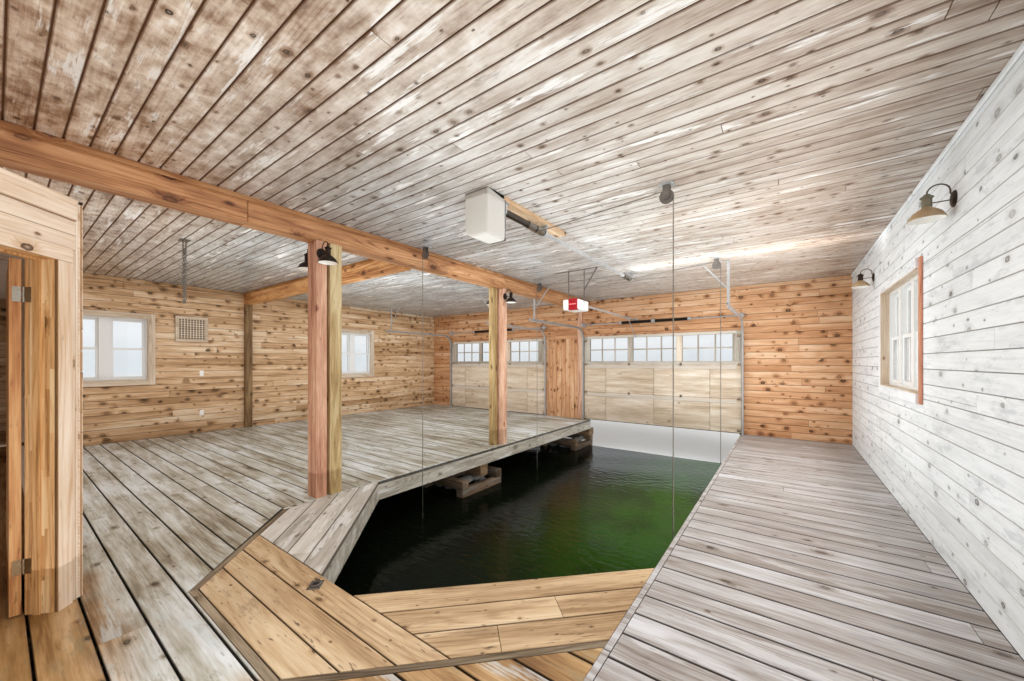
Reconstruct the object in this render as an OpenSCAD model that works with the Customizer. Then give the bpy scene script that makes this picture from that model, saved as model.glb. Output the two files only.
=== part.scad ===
// Timber boathouse: one room with a boat slip, a plank deck on stone filled cribs,
// boarded walls and ceiling, two overhead doors to the lake and a corner closet.
// +X is to the right when facing the lake, +Y points to the lake, +Z is up.
// The origin lies under the middle of the building, at the water line.

/* [Building] */
// Clear width of the room, side wall to side wall
room_w = 10970; // [10800:10:11400]
// Clear depth of the room, landward wall to lake wall
room_d = 10500; // [10300:10:11000]
// Height of the ceiling above the deck
room_h = 3065; // [3000:5:3400]
// Thickness of the framed and boarded outer walls
wall_t = 180; // [150:5:220]
// Height of the deck above the water line
deck_z = 690; // [650:10:900]

/* [Roof] */
// Rise of the roof for each unit of run
roof_slope = 0.33; // [0.25:0.01:0.5]
// Thickness of the rafters, roof boards and shingles together
roof_t = 120; // [100:5:160]
// Overhang of the roof past the side walls
eave_out = 400; // [250:10:600]
// Overhang of the roof past the end walls
verge_out = 300; // [200:10:500]
// Height of the fascia boards and bargeboards
fascia_h = 190; // [160:5:240]

/* [Deck and slip] */
// Thickness of the deck planks
plank_t = 40; // [30:1:50]
// Depth of the joists under the planks
joist_h = 190; // [150:5:220]
// Depth of the girders under the joists
girder_h = 180; // [150:5:220]
// Distance between joists
joist_pitch = 600; // [450:10:800]
// Width of the boat slip
slip_w = 3340; // [3200:10:3600]
// Distance of the slip's middle line to the right of the room's middle
slip_mid = 2090; // [2000:10:2200]
// Length of the slip's short straight edge at its landward end
slip_end_w = 390; // [300:10:600]
// Place of that edge in front of the room's middle
slip_end_y = -2500; // [-2700:10:-2300]

/* [Lake doors] */
// Height of the overhead doors
door_h = 2134; // [2000:1:2200]
// Thickness of the door sections
door_t = 45; // [35:1:60]
// Left edge of the door over the slip
slip_door_left = 270; // [250:5:300]
// Right edge of the door over the slip
slip_door_right = 3780; // [3760:5:3800]
// Left edge of the door of the left bay
bay_door_left = -4560; // [-4600:10:-4400]
// Right edge of the door of the left bay
bay_door_right = -920; // [-1000:10:-880]
// How far each door laps over the wall around its opening
door_lap = 40; // [20:5:60]

/* [Windows] */
// Width of a twin window's opening
win_w = 1160; // [1000:10:1170]
// Height of a twin window's opening
win_h = 1190; // [1000:10:1200]
// Height of a twin window's sill above the deck
win_sill = 1140; // [900:10:1300]
// Width of the post between the two halves of a twin window
win_mullion = 150; // [100:5:200]
// Width of the triple window's opening, in the right wall
triple_w = 1540; // [1300:10:1560]
// Height of the triple window's opening
triple_h = 1110; // [1000:10:1140]
// Height of the triple window's sill above the deck
triple_sill = 1210; // [1100:10:1240]
// Width of the posts between the parts of the triple window
triple_mullion = 100; // [80:5:120]

/* [Beams and posts] */
// Depth of the beams under the ceiling
beam_h = 245; // [200:5:300]
// Width of the main beam
beam_w = 190; // [140:5:220]
// Right face of the main beam from the room's middle
beam_right_x = 390; // [300:5:400]

/* [Closet] */
// Thickness of the closet's walls
closet_t = 150; // [120:5:160]
// Height of the closet's top above the deck
closet_h = 2506; // [2450:1:2600]
// Length of the slanted wall that holds the door
closet_front_w = 1056; // [1056:1:1200]
// Width of the closet's doorway between its jambs
doorway_w = 774; // [720:1:774]
// Height of the closet's doorway
doorway_h = 2100; // [2000:5:2150]
// Angle at which the closet door stands open
door_open = 135; // [0:1:135]

/* [Hidden] */

$fn = 48;

// Colours
pine = "burlywood";
old_plank = "rosybrown";
new_plank = "wheat";
white_board = "linen";
fir = "peru";
steel = "lightgray";
white_paint = "white";
bronze = "saddlebrown";
shingle = "slategray";
stone = "gray";

// Room and wall faces
half_w = room_w / 2;
half_d = room_d / 2;
outer_x = half_w + wall_t;
outer_y = half_d + wall_t;
ceiling_z = deck_z + room_h;
ceiling_t = 20;
heel_h = 120;
wall_top = ceiling_z + ceiling_t + heel_h;
joist_z = deck_z - plank_t - joist_h;
girder_z = joist_z - girder_h;
eave_x = outer_x + eave_out;
verge_y = outer_y + verge_out;
roof_rise = roof_t * sqrt(1 + roof_slope * roof_slope);
slip_door_x = [slip_door_left, slip_door_right];
bay_door_x = [bay_door_left, bay_door_right];

// Underside of the roof at a distance x from the ridge line
function roof_under(x) = wall_top + (outer_x - abs(x)) * roof_slope;

// Slip
slip_l = slip_mid - slip_w / 2;
slip_r = slip_mid + slip_w / 2;
slip_cut = (slip_w - slip_end_w) / 2;
slip_side_y = slip_end_y + slip_cut;
miter = tan(22.5);

// Outline of the slip, grown outwards by g
function slip_outline(g) = [
    [slip_l - g, outer_y + 1],
    [slip_l - g, slip_side_y - g * miter],
    [slip_l + slip_cut - g * miter, slip_end_y - g],
    [slip_r - slip_cut + g * miter, slip_end_y - g],
    [slip_r + g, slip_side_y - g * miter],
    [slip_r + g, outer_y + 1]
];

// Apron of newer planks round the slip's landward end
apron_end_y = -3105;
apron_end_x = [1390, 2625];
apron_outer = [
    [slip_l, apron_end_y + apron_end_x[0] - slip_l],
    [apron_end_x[0], apron_end_y],
    [apron_end_x[1], apron_end_y],
    [slip_r, apron_end_y + slip_r - apron_end_x[1]]
];
apron_inner = [
    [slip_r, slip_side_y],
    [slip_r - slip_cut, slip_end_y],
    [slip_l + slip_cut, slip_end_y],
    [slip_l, slip_side_y]
];

// Box between two corners
module block(a, b) {
    translate(a) cube(b - a);
}

// Box between two corners with its upright edges rounded to radius r
module rounded_block(a, b, r) {
    block([a.x + r, a.y, a.z], [b.x - r, b.y, b.z]);
    block([a.x, a.y + r, a.z], [b.x, b.y - r, b.z]);
    for (x = [a.x + r, b.x - r], y = [a.y + r, b.y - r]) {
        translate([x, y, a.z]) cylinder(r = r, h = b.z - a.z);
    }
}

// Flat bar between two points of one plane across the X axis, w wide in that plane
module bar_yz(x0, x1, from, to, w) {
    run = to - from;
    translate([x0, from[0], from[1]]) rotate([atan2(run[1], run[0]), 0, 0])
        translate([0, 0, -w / 2]) cube([x1 - x0, norm(run), w]);
}

// Flat bar between two points of one plane across the Y axis, w wide in that plane
module bar_xz(y0, y1, from, to, w) {
    run = to - from;
    translate([from[0], y0, from[1]]) rotate([0, -atan2(run[1], run[0]), 0])
        translate([0, 0, -w / 2]) cube([norm(run), y1 - y0, w]);
}

// Flat outline raised from height z0 to z1
module slab(outline, z0, z1) {
    translate([0, 0, z0]) linear_extrude(z1 - z0) polygon(outline);
}

// Cribs
crib_w = 1000;
crib_timber = girder_z / 2;
crib_rows = [-outer_y + crib_w / 2, -3300, 1000, outer_y - crib_w / 2];
crib_columns = [-outer_x + crib_w / 2, -2620, slip_l - crib_w / 2 - 20, 4710];
slip_crib_rows = [crib_rows[0], crib_rows[1]];

module crib() {
    inset = crib_w / 2 - crib_timber;
    for (side = [-1, 1]) {
        block([side * crib_w / 2 - (side > 0 ? crib_timber : 0), -crib_w / 2, 0],
              [side * crib_w / 2 + (side > 0 ? 0 : crib_timber), crib_w / 2, crib_timber]);
        block([-crib_w / 2, side * crib_w / 2 - (side > 0 ? crib_timber : 0), crib_timber],
              [crib_w / 2, side * crib_w / 2 + (side > 0 ? 0 : crib_timber), girder_z]);
    }
    block([-inset, -inset, 0], [inset, inset, girder_z - 20]);
}

module cribs() {
    color(stone) {
        for (y = crib_rows, x = crib_columns) translate([x, y, 0]) crib();
        for (y = slip_crib_rows) translate([slip_mid, y, 0]) crib();
    }
}

// Deck frame: girders across the building, joists on them, a sill under the left lake door
girder_w = 180;
joist_bearing = 80;
joist_w = 40;
joist_first = -half_w + 20;
joist_count = floor((room_w - 40 - joist_w) / joist_pitch);

module girder(y, x0, x1, w = girder_w) {
    block([x0, y - w / 2, girder_z], [x1, y + w / 2, joist_z]);
}

module girders() {
    end_w = wall_t + joist_bearing;
    end_y = outer_y - end_w / 2;
    color(fir) {
        girder(-end_y, -outer_x, outer_x, end_w);
        girder(crib_rows[1], -outer_x, outer_x);
        girder(crib_rows[2], -outer_x, slip_l);
        girder(crib_rows[2], slip_r, outer_x);
        girder(end_y, -outer_x, slip_l, end_w);
        girder(end_y, slip_door_right - door_lap, outer_x, end_w);
    }
}

module joist(x, y0) {
    block([x, y0, joist_z], [x + joist_w, half_d, joist_z + joist_h]);
}

module joists() {
    color(fir) {
        difference() {
            for (i = [0 : joist_count]) joist(joist_first + i * joist_pitch, -half_d);
            slab(slip_outline(plank_t), joist_z - 1, deck_z);
        }
        joist(slip_l - plank_t - joist_w, slip_side_y);
        joist(slip_r + plank_t, slip_side_y);
    }
}

module bay_door_sill() {
    color(fir) block([bay_door_left + door_lap, half_d, joist_z],
                     [bay_door_right - door_lap, outer_y, deck_z]);
}

module deck_planks(outline, shade) {
    color(shade) slab(outline, deck_z - plank_t, deck_z);
}

function rectangle(x0, y0, x1, y1) = [[x0, y0], [x1, y0], [x1, y1], [x0, y1]];

module left_deck() {
    deck_planks(rectangle(-half_w, -half_d, slip_l, half_d), old_plank);
}

module right_deck() {
    deck_planks(rectangle(slip_r, -half_d, half_w, half_d), old_plank);
}

module land_deck() {
    deck_planks(concat([[slip_r, -half_d], [slip_l, -half_d]], apron_outer), old_plank);
}

module slip_apron() {
    deck_planks(concat(apron_outer, apron_inner), new_plank);
}

// Boards that line the sides and the end of the slip
module slip_fascia() {
    color(white_board) difference() {
        slab(slip_outline(plank_t), joist_z, deck_z - plank_t);
        slab(slip_outline(0), joist_z - 1, deck_z);
        block([slip_l - 100, half_d, joist_z - 1], [slip_r + 100, outer_y + 10, deck_z]);
    }
}

// Walls
left_window_y = [-2660, 2185];
right_window_y = [1710];
land_window_x = [2760];

// Kinds of window: width, height, sill above the deck, number of parts, width of the posts between them
twin = [win_w, win_h, win_sill, 2, win_mullion];
triple = [triple_w, triple_h, triple_sill, 3, triple_mullion];
land_door_x = [3900, 4760];
land_door_h = 2050;

// Side wall with its top bevelled to the roof, and its openings for windows of one kind
module side_wall(side, window_y, kind) {
    profile = [
        [side * half_w, joist_z], [side * outer_x, joist_z],
        [side * outer_x, wall_top], [side * half_w, roof_under(half_w)]
    ];
    color(pine) difference() {
        translate([0, half_d, 0]) rotate([90, 0, 0]) linear_extrude(room_d) polygon(profile);
        for (y = window_y) {
            block([side * (half_w + wall_t / 2) - wall_t, y - kind[0] / 2, deck_z + kind[2]],
                  [side * (half_w + wall_t / 2) + wall_t, y + kind[0] / 2, deck_z + kind[2] + kind[1]]);
        }
    }
}

module left_wall() {
    side_wall(-1, left_window_y, twin);
}

module right_wall() {
    side_wall(1, right_window_y, triple);
}

// End wall up to the roof, from height z0
module end_wall(y0, y1, z0) {
    profile = [
        [-outer_x, z0], [outer_x, z0], [outer_x, wall_top],
        [0, roof_under(0)], [-outer_x, wall_top]
    ];
    translate([0, y1, 0]) rotate([90, 0, 0]) linear_extrude(y1 - y0) polygon(profile);
}

module land_wall() {
    color(pine) difference() {
        end_wall(-outer_y, -half_d, joist_z);
        block([land_door_x[0], -outer_y - 1, deck_z], [land_door_x[1], 1 - half_d, deck_z + land_door_h]);
        for (x = land_window_x) {
            block([x - win_w / 2, -outer_y - 1, deck_z + win_sill],
                  [x + win_w / 2, 1 - half_d, deck_z + win_sill + win_h]);
        }
    }
}

// Door of two hollowed panels a side, with a knob outside
module land_door() {
    land_door_t = 45;
    outer_face = -outer_y + 60;
    panel_inset = 110;
    panel_depth = 12;
    rail_z = [deck_z + 230, deck_z + 930, deck_z + 1060, deck_z + land_door_h - 130];
    color(fir) {
        difference() {
            block([land_door_x[0], outer_face, deck_z],
                  [land_door_x[1], outer_face + land_door_t, deck_z + land_door_h]);
            for (i = [0, 2], y = [outer_face - 1, outer_face + land_door_t - panel_depth]) {
                block([land_door_x[0] + panel_inset, y, rail_z[i]],
                      [land_door_x[1] - panel_inset, y + panel_depth + 1, rail_z[i + 1]]);
            }
        }
        translate([land_door_x[0] + 60, outer_face, deck_z + 995]) rotate([90, 0, 0]) {
            cylinder(r = 11, h = 40);
            translate([0, 0, 35]) cylinder(r = 27, h = 25);
        }
    }
}

// Lake wall: three piers beside the doors and one gable over them
lake_head_z = deck_z + door_h - 24;

module lake_pier(x0, x1) {
    block([x0, half_d, joist_z], [x1, outer_y, lake_head_z]);
}

module lake_piers() {
    color(pine) {
        lake_pier(-outer_x, bay_door_left + door_lap);
        lake_pier(bay_door_right - door_lap, slip_door_left + door_lap);
        lake_pier(slip_door_right - door_lap, outer_x);
    }
}

module lake_gable() {
    color(pine) end_wall(half_d, outer_y, lake_head_z);
}

// Ceiling and roof
module ceiling() {
    color(white_board) block([-half_w, -half_d, ceiling_z], [half_w, half_d, ceiling_z + ceiling_t]);
}

module roof_half(side) {
    profile = [
        [0, roof_under(0)], [side * eave_x, roof_under(eave_x)],
        [side * eave_x, roof_under(eave_x) + roof_rise], [0, roof_under(0) + roof_rise]
    ];
    color(shingle) translate([0, verge_y, 0]) rotate([90, 0, 0])
        linear_extrude(2 * verge_y) polygon(profile);
}

module roof_left() {
    roof_half(-1);
}

module roof_right() {
    roof_half(1);
}

module ridge_cap() {
    cap_w = 160;
    cap_t = 25;
    top = roof_under(0) + roof_rise;
    drop = cap_w * roof_slope;
    profile = [
        [0, top], [cap_w, top - drop], [cap_w, top - drop + cap_t],
        [0, top + cap_t], [-cap_w, top - drop + cap_t], [-cap_w, top - drop]
    ];
    color(shingle) translate([0, verge_y, 0]) rotate([90, 0, 0])
        linear_extrude(2 * verge_y) polygon(profile);
}

fascia_t = 30;

module eave_fascias() {
    top = roof_under(eave_x) + roof_t;
    color(white_board) for (side = [-1, 1]) {
        block([side * eave_x - (side < 0 ? fascia_t : 0), -verge_y, top - fascia_h],
              [side * eave_x + (side < 0 ? 0 : fascia_t), verge_y, top]);
    }
}

module bargeboards() {
    low = roof_rise - fascia_h;
    end_x = eave_x + fascia_t;
    color(white_board) for (side = [-1, 1], y = [-verge_y - fascia_t, verge_y]) {
        profile = [
            [side, roof_under(1) + low], [side * end_x, roof_under(end_x) + low],
            [side * end_x, roof_under(end_x) + roof_rise - 1], [side, roof_under(1) + roof_rise - 1]
        ];
        translate([0, y + fascia_t, 0]) rotate([90, 0, 0]) linear_extrude(fascia_t) polygon(profile);
    }
}

// Beams and posts
beam_z = ceiling_z - beam_h;
beam_left_x = beam_right_x - beam_w;
cross_beam_y = -420;
cross_beam_w = 140;
cross_beam_z = beam_z - 20;

beam_ledge = 20;
beam_ledge_h = 42;

module main_beam() {
    color(fir) {
        block([beam_left_x, -half_d, beam_z], [beam_right_x, half_d, ceiling_z]);
        block([beam_right_x, -half_d, ceiling_z - beam_ledge_h],
              [beam_right_x + beam_ledge, half_d, ceiling_z]);
    }
}

module cross_beam() {
    color(fir) block([-half_w, cross_beam_y - cross_beam_w / 2, cross_beam_z],
                     [beam_left_x, cross_beam_y + cross_beam_w / 2, ceiling_z]);
}

// Each main post is a built-up post with a slimmer one close to it, the first behind, the second before it
post_y = [-1785, 1560];
post_d = 120;
second_post_gap = 35;
second_post_d = 140;
second_post_w = 90;
second_posts = [
    [beam_right_x - second_post_w, post_y[0] + post_d + second_post_gap],
    [beam_left_x, post_y[1] - second_post_gap - second_post_d]
];
wall_post_w = 90;
lake_post_x = 65;
lake_post_t = 38;

module posts() {
    color(fir) {
        for (y = post_y) block([beam_left_x, y, deck_z], [beam_right_x, y + post_d, beam_z]);
        for (p = second_posts) {
            block([p.x, p.y, deck_z], [p.x + second_post_w, p.y + second_post_d, beam_z]);
        }
        block([-half_w, cross_beam_y - cross_beam_w / 2, deck_z],
              [-half_w + wall_post_w, cross_beam_y + cross_beam_w / 2, cross_beam_z]);
        block([lake_post_x, half_d - lake_post_t, deck_z],
              [lake_post_x + second_post_d, half_d, beam_z]);
    }
}

// Windows: a frame whose parts, side by side, each hold two sashes, the lower one towards the room
frame_bar = 40;
frame_d = 100;
sash_bar = 38;
sash_d = 30;
pane_t = 6;

function part_w(kind) = (kind[0] - 2 * frame_bar - (kind[3] - 1) * kind[4]) / kind[3];
function part_x(kind, i) = -kind[0] / 2 + frame_bar + i * (part_w(kind) + kind[4]);
function sash_h(kind) = kind[1] / 2 - frame_bar + sash_bar / 2;

// Puts children at the lower left corner of each sash. The window lies along X, its room side towards -Y.
module at_sashes(kind) {
    for (i = [0 : kind[3] - 1], top = [0, 1]) {
        translate([part_x(kind, i), (top - 0.5) * sash_d, frame_bar + top * (sash_h(kind) - sash_bar)])
            children();
    }
}

// Block that fills a sash between its bars, from y = -d / 2 to d / 2
module sash_opening(kind, d) {
    block([sash_bar, -d / 2, sash_bar], [part_w(kind) - sash_bar, d / 2, sash_h(kind) - sash_bar]);
}

module window_frame(kind) {
    difference() {
        block([-kind[0] / 2, -frame_d / 2, 0], [kind[0] / 2, frame_d / 2, kind[1]]);
        for (i = [0 : kind[3] - 1]) {
            block([part_x(kind, i), -frame_d, frame_bar],
                  [part_x(kind, i) + part_w(kind), frame_d, kind[1] - frame_bar]);
        }
    }
    at_sashes(kind) difference() {
        block([0, -sash_d / 2, 0], [part_w(kind), sash_d / 2, sash_h(kind)]);
        sash_opening(kind, 2 * sash_d);
    }
}

module window_panes(kind) {
    at_sashes(kind) sash_opening(kind, pane_t);
}

// Casing boards round the window on both faces of the wall
casing_w = 90;
casing_t = 38;
outer_casing_t = 25;

module casing_ring(kind, y0, y1) {
    difference() {
        block([-kind[0] / 2 - casing_w, y0, -casing_w], [kind[0] / 2 + casing_w, y1, kind[1] + casing_w]);
        block([-kind[0] / 2, y0 - 1, 0], [kind[0] / 2, y1 + 1, kind[1]]);
    }
}

module window_casing(kind) {
    casing_ring(kind, -wall_t / 2 - casing_t, -wall_t / 2);
    casing_ring(kind, wall_t / 2, wall_t / 2 + outer_casing_t);
}

// Puts a window's pieces into each wall
module in_left_wall() {
    for (y = left_window_y) {
        translate([-half_w - wall_t / 2, y, deck_z + twin[2]]) rotate([0, 0, 90]) children();
    }
}

module in_right_wall() {
    for (y = right_window_y) {
        translate([half_w + wall_t / 2, y, deck_z + triple[2]]) rotate([0, 0, -90]) children();
    }
}

module in_land_wall() {
    for (x = land_window_x) {
        translate([x, -half_d - wall_t / 2, deck_z + twin[2]]) rotate([0, 0, 180]) children();
    }
}

module windows() {
    color(white_paint) {
        in_left_wall() window_frame(twin);
        in_right_wall() window_frame(triple);
        in_land_wall() window_frame(twin);
    }
}

module window_casings() {
    color(pine) {
        in_left_wall() window_casing(twin);
        in_right_wall() window_casing(triple);
        in_land_wall() window_casing(twin);
    }
}

module window_glass() {
    color("lightblue", 0.5) {
        in_left_wall() window_panes(twin);
        in_right_wall() window_panes(triple);
        in_land_wall() window_panes(twin);
        door_panes(slip_door_x);
        door_panes(bay_door_x);
    }
}

// Overhead doors: three sections, the top one with three groups of small panes
door_y = half_d - door_t;
door_z = deck_z + 10;
section_h = door_h / 3;
pane_columns = 3;
pane_rows = 2;
group_count = 3;
group_pitch = 1105;
group_w = 972;
group_h = 572;
group_z = door_z + 1500;
muntin = 28;
strut_h = 60;
strut_d = 22;
pane_w = (group_w - (pane_columns - 1) * muntin) / pane_columns;
pane_h = (group_h - (pane_rows - 1) * muntin) / pane_rows;

function door_w(span) = span[1] - span[0];
function group_x(span, g) = (span[0] + span[1] - group_w) / 2 + (g - (group_count - 1) / 2) * group_pitch;

// Places the children at each small pane's lower left corner
module at_panes(span) {
    for (g = [0 : group_count - 1], c = [0 : pane_columns - 1], r = [0 : pane_rows - 1]) {
        translate([group_x(span, g) + c * (pane_w + muntin), door_y, group_z + r * (pane_h + muntin)])
            children();
    }
}

module door_panes(span) {
    at_panes(span) block([0, door_t / 2 - pane_t / 2, 0], [pane_w, door_t / 2 + pane_t / 2, pane_h]);
}

// Rollers of the doors, and the middle of the tracks in which they run
roller_r = 22;
roller_in = 28;
track_y = door_y - roller_in;
track_w = 52;
track_d = 32;
track_t = 3;
track_gap = 4;
track_bend = 305;
track_z = deck_z + 2360;
track_back_y = 2640;

// Roller, its shaft and the hinge that holds it, on the door's left edge at x = 0
module door_roller() {
    translate([-track_gap - track_d + track_t + 5, track_y, 0]) rotate([0, 90, 0]) {
        cylinder(r = roller_r, h = 11);
        cylinder(r = 6, h = 100);
    }
    block([20, track_y - 14, -28], [75, door_y, 28]);
}

module overhead_door(span) {
    strut_z = [door_z + section_h - 90, door_z + 2 * section_h - 90, door_z + door_h - strut_h];
    strut_inset = 90;
    groove = 8;
    difference() {
        block([span[0], door_y, door_z], [span[1], door_y + door_t, door_z + door_h]);
        for (i = [1, 2]) {
            block([span[0] - 1, door_y - 1, door_z + i * section_h - groove / 2],
                  [span[1] + 1, door_y + groove, door_z + i * section_h + groove / 2]);
        }
        at_panes(span) block([0, -1, 0], [pane_w, door_t + 1, pane_h]);
    }
    for (z = strut_z) {
        block([span[0] + strut_inset, door_y - strut_d, z], [span[1] - strut_inset, door_y, z + strut_h]);
    }
    for (z = [door_z + 60, door_z + section_h, door_z + 2 * section_h, door_z + door_h - 110]) {
        translate([span[0], 0, z]) door_roller();
        translate([span[1], 0, z]) mirror([1, 0, 0]) door_roller();
    }
    for (i = [1, 2], f = [1 / 3, 2 / 3]) {
        translate([span[0] + f * door_w(span), 0, door_z + i * section_h]) {
            block([-22, door_y - 4, -25], [22, door_y, 40]);
            translate([-30, door_y - 8, 0]) rotate([0, 90, 0]) cylinder(r = 8, h = 60);
        }
    }
}

module slip_door() {
    color(fir) overhead_door(slip_door_x);
}

module bay_door() {
    color(fir) overhead_door(bay_door_x);
}

// Tracks: steel channels with an upright and a level part joined by a bend, held by brackets and hangers
hanger_w = 35;
hanger_t = 4;
hanger_y = 2820;
hanger_reach = 700;
brace_reach = 380;
brace_w = 25;
brace_foot_z = track_z + 240;
brace_head_z = ceiling_z - 9;
bracket_h = 60;
shaft_y = half_d - 90;
shaft_z = deck_z + 2445;

// Channel section with its web at x = 0, open towards +x
module channel() {
    lip = 9;
    difference() {
        translate([0, -track_w / 2]) square([track_d, track_w]);
        translate([track_t, -track_w / 2 + track_t]) square([track_d, track_w - 2 * track_t]);
    }
    for (side = [-1, 1]) {
        translate([track_d - track_t, side > 0 ? track_w / 2 - lip : -track_w / 2]) square([track_t, lip]);
    }
}

// A hanger ends under the main beam where the beam is above it, or else at the ceiling
function hanger_top(x) = x > beam_left_x - hanger_w && x < beam_right_x ? beam_z : ceiling_z;

// One track with its web on x = 0 and its door towards +x, and the height its hangers reach
module track(top) {
    upright_h = track_z - track_bend - deck_z;
    translate([0, track_y, deck_z]) linear_extrude(upright_h) channel();
    translate([0, track_y - track_bend, track_z - track_bend]) rotate([90, 0, 90]) rotate_extrude(angle = 90)
        translate([track_bend, 0]) rotate(90) channel();
    translate([0, track_back_y, track_z]) rotate([-90, 0, 0])
        linear_extrude(track_y - track_bend - track_back_y) channel();
    for (f = [0.1, 0.5, 0.9]) {
        z = deck_z + f * upright_h;
        block([0, track_y + track_w / 2 - 1, z], [track_t, half_d, z + bracket_h]);
        block([0, half_d - track_t, z], [hanger_w, half_d, z + bracket_h]);
    }
    block([-hanger_t, hanger_y, track_z - track_w / 2], [0, hanger_y + hanger_w, top]);
    block([-hanger_t, hanger_y, track_z + track_w / 2], [hanger_w, hanger_y + hanger_t, top]);
}

// The ceiling angle and the brace of a hanger, from its x towards side
module hanger_brace(x, side) {
    start = hanger_top(x) < ceiling_z ? beam_right_x + beam_ledge : x;
    far = x + side * hanger_reach;
    block([min(start, far), hanger_y, ceiling_z - hanger_t],
          [max(start, far), hanger_y + hanger_w, ceiling_z]);
    bar_xz(hanger_y + hanger_w - hanger_t, hanger_y + hanger_w, [x, brace_foot_z],
           [x + side * brace_reach, brace_head_z], brace_w);
}

module door_tracks(span) {
    web_x = [span[0] - track_gap - track_d, span[1] + track_gap + track_d];
    middle = (span[0] + span[1]) / 2;
    translate([web_x[0], 0, 0]) track(hanger_top(web_x[0]));
    translate([web_x[1], 0, 0]) mirror([1, 0, 0]) track(hanger_top(web_x[1]));
    hanger_brace(web_x[0], 1);
    hanger_brace(web_x[1], -1);
    for (x = [span[0] + 26, middle - 4, span[1] - 34]) {
        block([x, shaft_y - 50, shaft_z - 60], [x + 8, half_d, shaft_z + 60]);
    }
    translate([span[0] - 70, shaft_y, shaft_z]) rotate([0, 90, 0]) cylinder(r = 13, h = door_w(span) + 140);
    for (side = [-1, 1]) {
        translate([middle, shaft_y, shaft_z]) rotate([0, side * 90, 0]) {
            translate([0, 0, 4]) cylinder(r = 42, h = 36);
            translate([0, 0, 40]) cylinder(r = 32, h = 700);
            translate([0, 0, 740]) cylinder(r = 38, h = 60);
            translate([0, 0, door_w(span) / 2 - 22]) {
                cylinder(r = 66, h = 5);
                cylinder(r = 56, h = 60);
            }
        }
    }
}

module slip_door_tracks() {
    color(steel) door_tracks(slip_door_x);
}

module bay_door_tracks() {
    color(steel) door_tracks(bay_door_x);
}

// Opener: motor head on hangers, its rail to the wall over the slip door, trolley and arm
opener_x = 1600;
opener_y = 2040;
opener_z = deck_z + 2368;
opener_h = 176;
opener_head_y = [1830, 2250];
lens_x = [1570, 1730];
lens_out = 22;
rail_z = deck_z + 2484;
rail_w = 40;
trolley_y = 4700;

module door_opener() {
    head_w = 290;
    bracket_w = 45;
    hanger_x = [opener_x - head_w / 2 - hanger_t + 1, opener_x + head_w / 2 - 1];
    arm_foot = [door_y - 40, door_z + door_h - 30];
    color(white_paint) {
        rounded_block([opener_x - head_w / 2, opener_head_y[0], opener_z],
                      [opener_x + head_w / 2, opener_head_y[1], opener_z + opener_h], 35);
        rounded_block([lens_x[0], opener_head_y[0] - lens_out, opener_z - 10],
                      [lens_x[1], opener_head_y[0] + 60, opener_z + opener_h + 5], 12);
        block([opener_x - rail_w / 2, opener_y, rail_z], [opener_x + rail_w / 2, half_d, rail_z + 28]);
        block([opener_x - bracket_w, half_d - 12, rail_z - 30], [opener_x + bracket_w, half_d, rail_z + 58]);
    }
    color(steel) {
        block([opener_x - 430, opener_y, ceiling_z - hanger_t],
              [opener_x + 390, opener_y + hanger_w, ceiling_z]);
        for (x = hanger_x) {
            block([x, opener_y, opener_z + 60], [x + hanger_t, opener_y + hanger_w, ceiling_z]);
        }
        bar_xz(opener_y + 16, opener_y + 20, [hanger_x[1] + 1, opener_z + 345],
               [opener_x + 370, brace_head_z], brace_w);
        block([opener_x - 32, trolley_y - 70, rail_z - 18], [opener_x + 32, trolley_y + 70, rail_z + 2]);
        bar_yz(opener_x - 4, opener_x + 4, [trolley_y, rail_z - 8], arm_foot, 28);
        block([opener_x - 20, arm_foot[0] - 10, arm_foot[1] - 28],
              [opener_x + 20, door_y - strut_d, arm_foot[1] + 20]);
    }
}

// Gooseneck lamps: wall plate, arched arm, strut, neck and a dish shade with a recessed lens
lamp_out = 135;
lamp_tube = 5;
lamp_arm_z = 64;
lamp_r = 100;
wall_lamp_y = [130, 3170];
wall_lamp_z = deck_z + 2640;
post_lamp_z = deck_z + 2680;

// Lamp on a wall that faces +X, its plate's centre at the origin
module barn_lamp() {
    arch_r = (lamp_out - 20) / 2;
    rotate([0, 90, 0]) rotate_extrude() polygon([[0, 0], [58, 0], [58, 6], [46, 14], [18, 20], [0, 20]]);
    translate([20, 0, 0]) {
        translate([0, 0, 38]) cylinder(r = lamp_tube, h = lamp_arm_z - 38);
        translate([0, 0, 38]) rotate([0, -90, 0]) cylinder(r = lamp_tube, h = 20);
        translate([0, 0, 38]) sphere(r = lamp_tube);
    }
    translate([20 + arch_r, 0, lamp_arm_z]) rotate([90, 0, 0]) rotate_extrude(angle = 180)
        translate([arch_r, 0]) circle(r = lamp_tube);
    translate([0, 0, -4]) rotate([0, 90, 0]) cylinder(r = 4, h = lamp_out);
    translate([lamp_out, 0, lamp_arm_z]) rotate_extrude() polygon([
        [0, 0], [16, -2], [24, -14], [36, -20], [36, -28], [28, -34], [28, -96],
        [36, -104], [56, -118], [78, -138], [lamp_r - 7, -164], [lamp_r, -178], [lamp_r, -184],
        [lamp_r - 4, -184], [lamp_r - 13, -164], [0, -164]
    ]);
}

module barn_lamps() {
    color(bronze) {
        for (y = wall_lamp_y) translate([half_w, y, wall_lamp_z]) rotate([0, 0, 180]) barn_lamp();
        for (y = post_y) {
            translate([beam_right_x, y + post_d / 2, post_lamp_z]) barn_lamp();
            translate([beam_left_x, y + post_d / 2, post_lamp_z]) rotate([0, 0, 180]) barn_lamp();
        }
    }
}

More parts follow.
